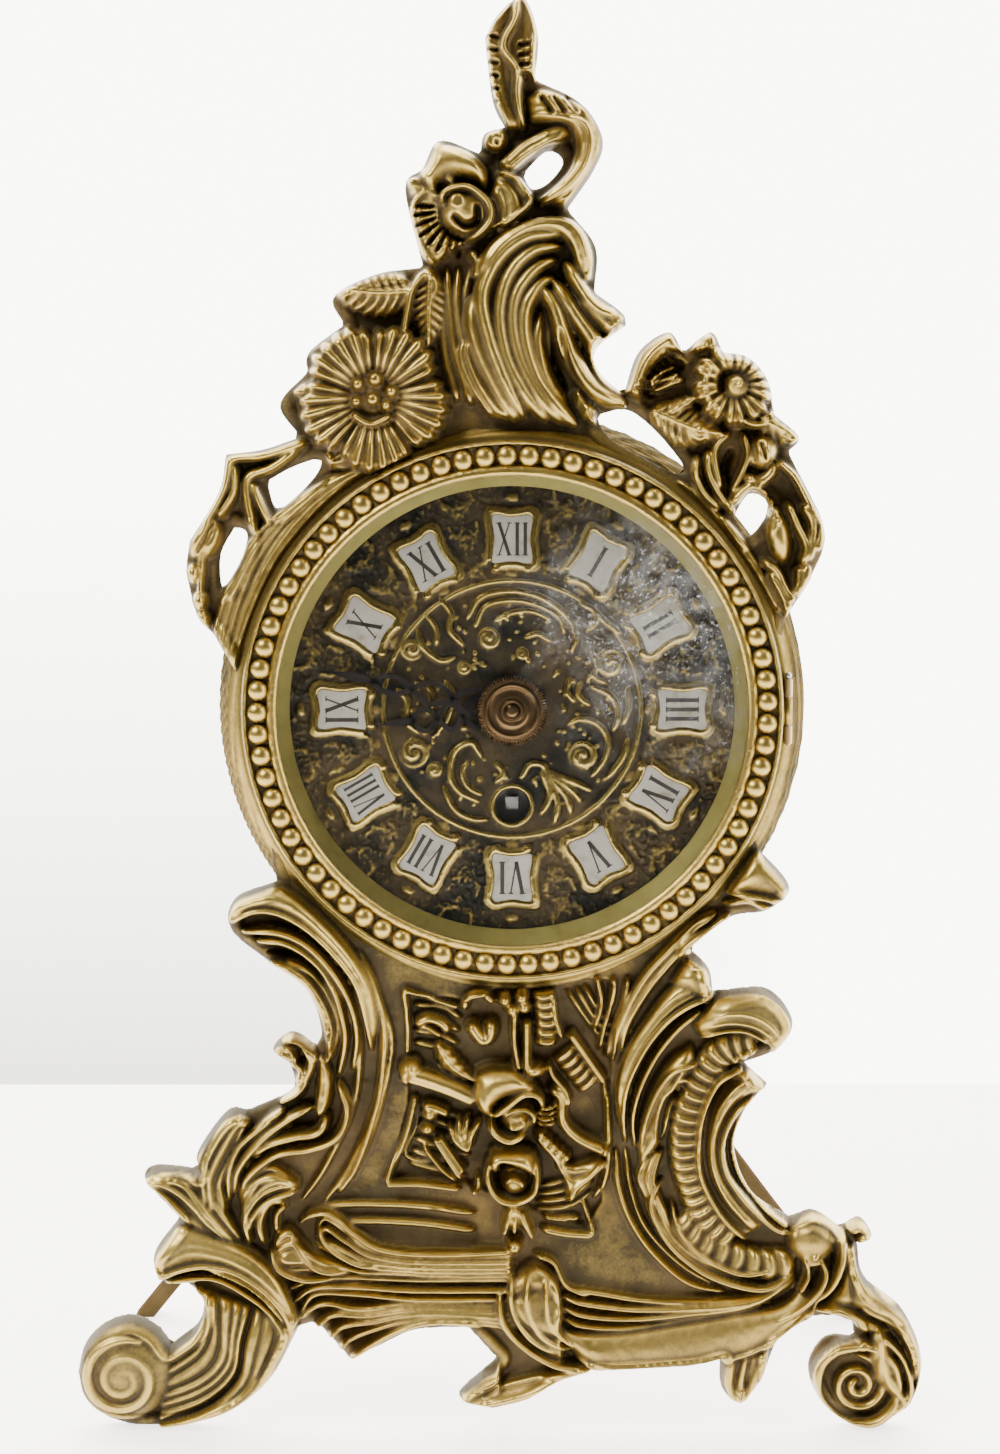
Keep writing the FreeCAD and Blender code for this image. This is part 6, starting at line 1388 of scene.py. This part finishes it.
def numerals():
    """Roman hours that stand with their feet to the centre."""
    parts = []
    y0 = DIAL_FRONT_Y - 0.56
    y1 = DIAL_FRONT_Y - 0.40
    for hour, word in enumerate(HOURS):
        turn = TAU * hour / 12
        total = sum(LETTER_WIDTHS[c] for c in word)
        squeeze = min(1.1, 7.0 / total)
        x = -total / 2
        for letter in word:
            x += LETTER_WIDTHS[letter] / 2
            for start, end, thick in letter_bars(letter):
                ends = []
                for px, pz in (start, end):
                    lx = (x + px) * squeeze
                    lz = PLAQUE_CIRCLE_R + (pz - 0.5) * NUMERAL_H
                    ends.append((DIAL_X + lx * math.cos(turn) + lz * math.sin(turn),
                                 DIAL_Z + lz * math.cos(turn) - lx * math.sin(turn)))
                width = thick if thick > 0.2 else 0.22
                parts.append(flat_bar(ends[0], ends[1], width * squeeze, y0, y1))
            x += LETTER_WIDTHS[letter] / 2
    places, faces, shade = joined(parts)
    item = mesh_object("hour_numerals", places, faces, smooth=False, values=shade)
    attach(item, "case")
    return item


# ---------------------------------------------------------------- hands
HAND_LINE = 1.05


def ribbon_mesh(line, widths, y0, y1):
    """A flat strip of changing width along a line, as places and quads."""
    along = np.gradient(line, axis=0)
    along /= np.hypot(*along.T)[:, None] + 1e-9
    side = np.column_stack([-along[:, 1], along[:, 0]]) * np.asarray(widths)[:, None] / 2
    left = line - side
    right = line + side
    rows = [(left, y0), (right, y0), (right, y1), (left, y1)]
    places = np.stack([np.column_stack([p[:, 0], np.full(len(p), y), p[:, 1]]) for p, y in rows], axis=1)
    return places.reshape(-1, 3), grid_faces(len(line), 4, close_cols=True), 0.5


def hand(name, body, node, length, waist, hub, bore, y0, y1, degrees):
    """An openwork serpentine hand: two crossing waves between the hub and a leaf point."""
    turn = math.radians(degrees)
    parts = []
    z = np.linspace(hub - 0.3, length * 0.74, 90)
    wave = waist * np.sin(np.pi * 3 * (z - z[0]) / (z[-1] - z[0]))
    wave = wave * (1 - 0.35 * (z - z[0]) / (z[-1] - z[0]))
    for side in (-1, 1):
        parts.append(ribbon_mesh(np.column_stack([side * wave, z]), HAND_LINE + 0 * z, y0, y1))
    tip = np.linspace(length * 0.70, length, 30)
    share = np.linspace(0, 1, 30)
    widths = 0.25 + 2.0 * np.sin(np.pi * share) ** 1.5 * (1 - share) + 0.6 * (1 - share)
    parts.append(ribbon_mesh(np.column_stack([0 * tip, tip]), widths, y0, y1))
    a = np.linspace(0, TAU, 65)
    middle = 0.5 * (hub + bore)
    ring = np.column_stack([middle * np.cos(a), middle * np.sin(a)])
    parts.append(ribbon_mesh(ring, hub - bore + 0 * a, y0, y1))
    places, faces, shade = joined(parts)
    x = places[:, 0].copy()
    z = places[:, 2].copy()
    places[:, 0] = DIAL_X + x * math.cos(turn) + z * math.sin(turn)
    places[:, 2] = DIAL_Z + z * math.cos(turn) - x * math.sin(turn)
    item = mesh_object(name, places, faces, smooth=False, values=shade)
    return stands_for(item, body, "black_steel", node)


def hands():
    hour = hand("hour_hand_openwork", "hour_body", "hour_hand", length=28.0, waist=3.2, hub=5.2, bore=2.7,
                y0=-26.2, y1=-25.7, degrees=263.5)
    minute = hand("minute_hand_openwork", "minute_body", "minute_hand", length=40.0, waist=2.6, hub=4.2,
                  bore=1.5, y0=-27.3, y1=-26.8, degrees=282.0)
    return [hour, minute]


def setting_disc():
    """The knurled copper disc for setting the hands, turned with a raised ring."""
    profile = [(1.5, -27.35), (7.0, -27.35), (7.3, -27.6), (7.3, -28.1), (7.0, -28.4), (6.6, -28.42),
               (6.2, -28.35), (5.7, -28.38), (5.55, -28.62), (5.25, -28.7), (4.95, -28.62), (4.8, -28.38),
               (4.1, -28.3),
               (3.6, -28.36), (3.2, -28.5), (2.6, -28.5), (1.5, -28.5), (1.5, -27.35)]

    def knurl(angle, share):
        return 0.14 * (np.cos(72 * angle) - 1) * ((share > 0.06) & (share < 0.32))

    corners = [np.array(profile[k:k + 2], float) for k in range(len(profile) - 1)]
    line = np.vstack([smooth_line(pair, 4)[:-1] for pair in corners] + [np.array(profile[-1:])])
    verts, faces = turned_mesh(line, 864, knurl)
    item = mesh_object("setting_disc_knurled", verts, faces[:, ::-1])
    return stands_for(item, "minute_body", "copper", "hand_setting_disc")


def cap_nut():
    """The small round nut over the hands."""
    profile = [(0.03, -29.72), (0.7, -29.68), (1.2, -29.5), (1.55, -29.2), (1.7, -29.0), (2.1, -29.05),
               (2.4, -28.9), (2.45, -28.55), (1.2, -28.5), (0.03, -28.5)]
    verts, faces = turned_mesh(smooth_line(profile, 40), 64)
    item = mesh_object("cap_nut_turned", verts, faces)
    return stands_for(item, "minute_body", "copper", "hand_nut")


# ---------------------------------------------------------------- materials
class Shader:
    """A Principled material put together from procedural nodes."""

    def __init__(self, name):
        self.material = bpy.data.materials.new(name)
        self.material.use_nodes = True
        self.tree = self.material.node_tree
        self.main = self.tree.nodes["Principled BSDF"]
        self.places = self.node("ShaderNodeTexCoord").outputs["Object"]

    def node(self, kind, **inputs):
        made = self.tree.nodes.new(kind)
        for key, value in inputs.items():
            self.put(made.inputs[key.replace("_", " ")], value)
        return made

    def put(self, socket, value):
        if isinstance(value, bpy.types.NodeSocket):
            self.tree.links.new(value, socket)
        else:
            socket.default_value = value

    def noise(self, scale, detail, roughness):
        made = self.node("ShaderNodeTexNoise", Vector=self.places, Scale=scale, Detail=detail,
                         Roughness=roughness)
        return made.outputs["Fac"]

    def spread(self, value, low, high, out_low=0.0, out_high=1.0):
        made = self.tree.nodes.new("ShaderNodeMapRange")
        for place, given in zip((0, 1, 2, 3, 4), (value, low, high, out_low, out_high)):
            self.put(made.inputs[place], given)
        return made.outputs[0]

    def maths(self, kind, a, b):
        made = self.tree.nodes.new("ShaderNodeMath")
        made.operation = kind
        self.put(made.inputs[0], a)
        self.put(made.inputs[1], b)
        return made.outputs[0]

    def mix(self, share, a, b):
        made = self.tree.nodes.new("ShaderNodeMix")
        made.data_type = "RGBA"
        self.put(made.inputs[0], share)
        self.put(made.inputs[6], a if isinstance(a, bpy.types.NodeSocket) else (*a, 1))
        self.put(made.inputs[7], b if isinstance(b, bpy.types.NodeSocket) else (*b, 1))
        return made.outputs[2]

    def ramp(self, value, stops):
        made = self.tree.nodes.new("ShaderNodeValToRGB")
        colours = made.color_ramp.elements
        while len(colours) < len(stops):
            colours.new(0.5)
        for element, (place, colour) in zip(colours, stops):
            element.position = place
            element.color = (*colour, 1)
        self.put(made.inputs[0], value)
        return made.outputs[0]

    def attribute(self, name):
        made = self.tree.nodes.new("ShaderNodeAttribute")
        made.attribute_name = name
        return made.outputs["Fac"]

    def bump(self, height, strength, distance):
        made = self.node("ShaderNodeBump", Strength=strength, Distance=distance, Height=height)
        self.put(self.main.inputs["Normal"], made.outputs[0])

    def set(self, **inputs):
        for key, value in inputs.items():
            if isinstance(value, tuple):
                value = (*value, 1)
            self.put(self.main.inputs[key.replace("_", " ")], value)


def worn_brass_with_painted_shade(name, light, dark, rough=0.36):
    """Old cast brass: lighter on raised parts, partly rubbed wear and partly painted highlight, and
    brown-green in the hollows, partly patina and partly painted shade.
    """
    s = Shader(name)
    shade = s.attribute("patina_and_painted_shade")
    patches = s.noise(45.0, 5.0, 0.65)
    specks = s.noise(1500.0, 3.0, 0.7)
    # The painted shade of the mesh, with random wear marks added, sets the colour from dark to light.
    wear_and_painted_shade = s.maths("ADD", shade, s.spread(patches, 0.3, 0.7, -0.13, 0.13))
    wear_and_painted_shade = s.maths("ADD", wear_and_painted_shade, s.spread(s.noise(260.0, 4.0, 0.7), 0.3, 0.7, -0.10, 0.10))
    wear_and_painted_shade = s.maths("ADD", wear_and_painted_shade, s.spread(specks, 0.3, 0.7, -0.07, 0.07))
    middle = tuple(0.45 * a + 0.55 * b for a, b in zip(light, dark))
    colour = s.ramp(wear_and_painted_shade, [(0.12, dark), (0.42, middle), (0.74, light)])
    colour = s.mix(s.spread(patches, 0.42, 0.72, 0.0, 0.5), colour, (0.20, 0.128, 0.048))
    gloss = s.spread(wear_and_painted_shade, 0.25, 0.75, rough + 0.28, rough)
    s.set(Base_Color=colour, Metallic=s.spread(wear_and_painted_shade, 0.15, 0.5, 0.55, 1.0), Roughness=gloss)
    s.bump(s.maths("ADD", specks, s.noise(500.0, 4.0, 0.6)), 0.3, 0.00012)
    return s.material


def plain_metal(name, colour, dirt, rough, edge=(1.0, 1.0, 1.0)):
    """Sheet, turned or plated metal with faint marks and handling dirt; edge tints the grazing gloss."""
    s = Shader(name)
    patches = s.noise(60.0, 5.0, 0.6)
    fine = s.noise(300.0, 4.0, 0.6)
    tone = s.mix(s.spread(patches, 0.4, 0.75, 0.0, 0.6), colour, dirt)
    tone = s.mix(s.spread(fine, 0.55, 0.75, 0.0, 0.3), tone, dirt)
    s.set(Base_Color=tone, Metallic=1.0, Roughness=s.spread(patches, 0.3, 0.7, rough, rough + 0.2),
          Specular_Tint=edge)
    s.bump(fine, 0.12, 0.0001)
    return s.material


def aged_enamel(name):
    """Off-white plaque ground with faint stains."""
    s = Shader(name)
    stain = s.noise(250.0, 5.0, 0.65)
    colour = s.ramp(stain, [(0.3, (0.28, 0.25, 0.18)), (0.45, (0.42, 0.40, 0.35)),
                            (0.7, (0.50, 0.48, 0.43))])
    s.set(Base_Color=colour, Roughness=s.spread(stain, 0.3, 0.7, 0.55, 0.38))
    s.bump(s.noise(900.0, 3.0, 0.6), 0.15, 0.0001)
    return s.material


def glass_with_dust_and_reflection(name):
    """Clear glass with a whitish film, thickest in a patch at the upper right: partly dust and partly a
    painted reflection, with fine dust specks in the same patch.
    """
    s = Shader(name)
    where = s.tree.nodes.new("ShaderNodeVectorMath")
    where.operation = "DISTANCE"
    s.put(where.inputs[0], s.places)
    where.inputs[1].default_value = (0.034, -0.031, 0.170)
    cloud = s.noise(90.0, 6.0, 0.7)
    fine = s.noise(1300.0, 3.0, 0.6)
    # Painted reflection and dust: a whitish film in a patch at the upper right, with fine dust specks.
    near = s.spread(s.maths("ADD", where.outputs["Value"], s.spread(cloud, 0.3, 0.7, 0.014, -0.014)),
                    0.004, 0.032, 1.0, 0.0)
    film = s.maths("MULTIPLY", near, s.spread(s.noise(260.0, 5.0, 0.7), 0.40, 0.65, 0.004, 0.10))
    specks = s.maths("MULTIPLY", s.spread(fine, 0.60, 0.70), s.maths("MULTIPLY", near, 0.6))
    dust_and_painted_reflection = s.maths("ADD", film, specks)
    s.set(Base_Color=(0.98, 0.99, 0.98), Roughness=0.03, IOR=1.2, Transmission_Weight=1.0)
    whitish_film = s.node("ShaderNodeBsdfDiffuse", Color=(0.72, 0.74, 0.74, 1))
    blend = s.tree.nodes.new("ShaderNodeMixShader")
    s.put(blend.inputs[0], dust_and_painted_reflection)
    s.put(blend.inputs[1], s.main.outputs[0])
    s.put(blend.inputs[2], whitish_film.outputs[0])
    output = s.tree.nodes["Material Output"]
    s.put(output.inputs["Surface"], blend.outputs[0])
    s.bump(cloud, 0.02, 0.0001)
    return s.material


def ink(name):
    """Black paint of the numerals, slightly uneven."""
    s = Shader(name)
    marks = s.noise(700.0, 4.0, 0.6)
    s.set(Base_Color=s.mix(marks, (0.012, 0.010, 0.010), (0.05, 0.04, 0.035)), Roughness=0.45)
    s.bump(marks, 0.1, 0.00005)
    return s.material


def build_materials():
    # brass_dark is the colour of the hollows: partly patina, partly painted shade.
    brass_dark = (0.045, 0.032, 0.010)
    return {
        "cast_brass": worn_brass_with_painted_shade("cast_brass", (0.42, 0.305, 0.082), brass_dark),
        "sheet_brass": plain_metal("sheet_brass", (0.20, 0.145, 0.055), (0.09, 0.06, 0.025), 0.42,
                                   edge=(0.3, 0.24, 0.14)),
        # dark_brass is a much darker copy of the cast brass: painted shade for the CAD cast-brass pieces.
        "dark_brass": plain_metal("dark_brass", (0.065, 0.046, 0.020), (0.03, 0.02, 0.01), 0.50,
                                  edge=(0.3, 0.22, 0.12)),
        "turned_brass": plain_metal("turned_brass", (0.66, 0.49, 0.24), (0.30, 0.20, 0.08), 0.25),
        "plate_brass": plain_metal("plate_brass", (0.72, 0.55, 0.27), (0.40, 0.27, 0.12), 0.28),
        "dial_brass": worn_brass_with_painted_shade("dial_brass", (0.42, 0.31, 0.092), (0.010, 0.008, 0.004), 0.26),
        "gilt": plain_metal("gilt", (0.50, 0.44, 0.155), (0.24, 0.19, 0.065), 0.34),
        "copper": plain_metal("copper", (0.16, 0.098, 0.047), (0.07, 0.043, 0.021), 0.22),
        "steel": plain_metal("steel", (0.50, 0.50, 0.50), (0.25, 0.23, 0.21), 0.30),
        "spring_steel": plain_metal("spring_steel", (0.10, 0.12, 0.20), (0.08, 0.07, 0.07), 0.28),
        "black_steel": plain_metal("black_steel", (0.035, 0.032, 0.035), (0.06, 0.045, 0.035), 0.35),
        "plaque_white": aged_enamel("plaque_white"),
        "glass": glass_with_dust_and_reflection("glass"),
        "ink": ink("ink"),
    }


def dress(item, material):
    item.data.materials.clear()
    item.data.materials.append(material)


# ---------------------------------------------------------------- stage
TABLE_HALF_WIDTH = 1.2
TABLE_FRONT = -0.35
TABLE_BACK = 0.265
TABLE_GLOW = 2.7
WALL_Y = 2.5
WALL_HALF_WIDTH = 11.0
WALL_BOTTOM = -2.0
WALL_TOP = 11.0
WALL_GLOW = 9.0


def flat_sheet(name, corners):
    """One upright or level rectangle, given in metres."""
    places = [tuple(c / MM for c in corner) for corner in corners]
    return mesh_object(name, places, [[0, 1, 2, 3]], smooth=False)


def table():
    """A pale, faintly clouded table top."""
    s = Shader("pale_table")
    colour = s.mix(s.noise(1.2, 3.0, 0.5), (0.80, 0.77, 0.75), (0.84, 0.81, 0.80))
    s.set(Base_Color=colour, Roughness=0.55, Emission_Color=(1.0, 0.955, 0.965),
          Emission_Strength=TABLE_GLOW)
    w = TABLE_HALF_WIDTH
    top = flat_sheet("floor", [(-w, TABLE_FRONT, 0), (w, TABLE_FRONT, 0), (w, TABLE_BACK, 0),
                               (-w, TABLE_BACK, 0)])
    dress(top, s.material)


def wall():
    """A light wall well behind the table that glows with painted light, dimmer low down at the left."""
    s = Shader("light_wall")
    split = s.node("ShaderNodeSeparateXYZ", Vector=s.places)
    # Painted light: the wall's glow grows upwards and to the right.
    upward = s.spread(split.outputs["Z"], -0.54, 0.20, 3.0, WALL_GLOW)
    rightward = s.spread(split.outputs["X"], -0.37, 0.37, 0.0, WALL_GLOW)
    colour = s.mix(s.noise(0.5, 3.0, 0.5), (0.80, 0.77, 0.75), (0.84, 0.81, 0.80))
    s.set(Base_Color=colour, Roughness=0.55, Emission_Color=(1.0, 0.985, 0.92),
          Emission_Strength=s.maths("MAXIMUM", upward, rightward))
    w = WALL_HALF_WIDTH
    sheet_up = flat_sheet("wall", [(-w, WALL_Y, WALL_BOTTOM), (w, WALL_Y, WALL_BOTTOM),
                                   (w, WALL_Y, WALL_TOP), (-w, WALL_Y, WALL_TOP)])
    dress(sheet_up, s.material)


def area_light(name, place, target, size, power, colour):
    data = bpy.data.lights.new(name, "AREA")
    data.shape = "RECTANGLE"
    data.size, data.size_y = size
    data.energy = power
    data.color = colour
    item = bpy.data.objects.new(name, data)
    bpy.context.scene.collection.objects.link(item)
    item.location = place
    aim = np.array(target) - np.array(place)
    flat = math.hypot(aim[0], aim[1])
    item.rotation_euler = (math.atan2(flat, -aim[2]), 0, math.atan2(-aim[0], aim[1]))
    return item


def lights():
    """A soft studio world with three area lights."""
    world = bpy.data.worlds.new("studio")
    bpy.context.scene.world = world
    world.use_nodes = True
    ground = world.node_tree.nodes["Background"]
    ground.inputs["Color"].default_value = (0.92, 0.90, 0.84, 1)
    ground.inputs["Strength"].default_value = 0.16
    middle = (0.0, 0.0, 0.15)
    area_light("key", (-0.55, -0.45, 0.85), middle, (0.45, 0.45), 15.0, (1.0, 0.96, 0.87))
    area_light("side", (0.85, -0.30, 0.50), middle, (0.35, 0.8), 9.0, (1.0, 0.95, 0.86))
    area_light("above", (0.05, 0.10, 0.95), middle, (0.7, 0.35), 10.0, (1.0, 0.97, 0.90))


def camera():
    """The photograph's viewpoint."""
    data = bpy.data.cameras.new("camera")
    data.lens = 66.4
    data.sensor_width = 36.0
    item = bpy.data.objects.new("camera", data)
    bpy.context.scene.collection.objects.link(item)
    item.location = (0.0, -0.574, 0.2015)
    item.rotation_euler = (math.radians(90 - 5.91), 0, 0)
    bpy.context.scene.camera = item


# ---------------------------------------------------------------- put together
def dress_frame(materials):
    """Procedural finishes on the CAD pieces that are shown as they are."""
    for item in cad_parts.values():
        for k, old in enumerate(item.data.materials):
            finish = old.name.split(".")[0]
            # Painted shade: the CAD cast-brass pieces take the darker copy of the brass.
            if finish == "cast_brass":
                finish = "dark_brass"
            item.data.materials[k] = materials[finish]


def main():
    """Dress the CAD pieces, make the visual pieces, then the stage, the lights and the camera."""
    materials = build_materials()
    dress_frame(materials)
    for item in casting() + [casting_ring(), bezel()]:
        dress(item, materials["cast_brass"])
    dress(glass(), materials["glass"])
    dress(dial(), materials["dial_brass"])
    dress(dial_feet(), materials["turned_brass"])
    dress(plaques(), materials["plaque_white"])
    dress(numerals(), materials["ink"])
    for item in hands():
        dress(item, materials["black_steel"])
    dress(setting_disc(), materials["copper"])
    dress(cap_nut(), materials["copper"])
    table()
    wall()
    lights()
    camera()


main()
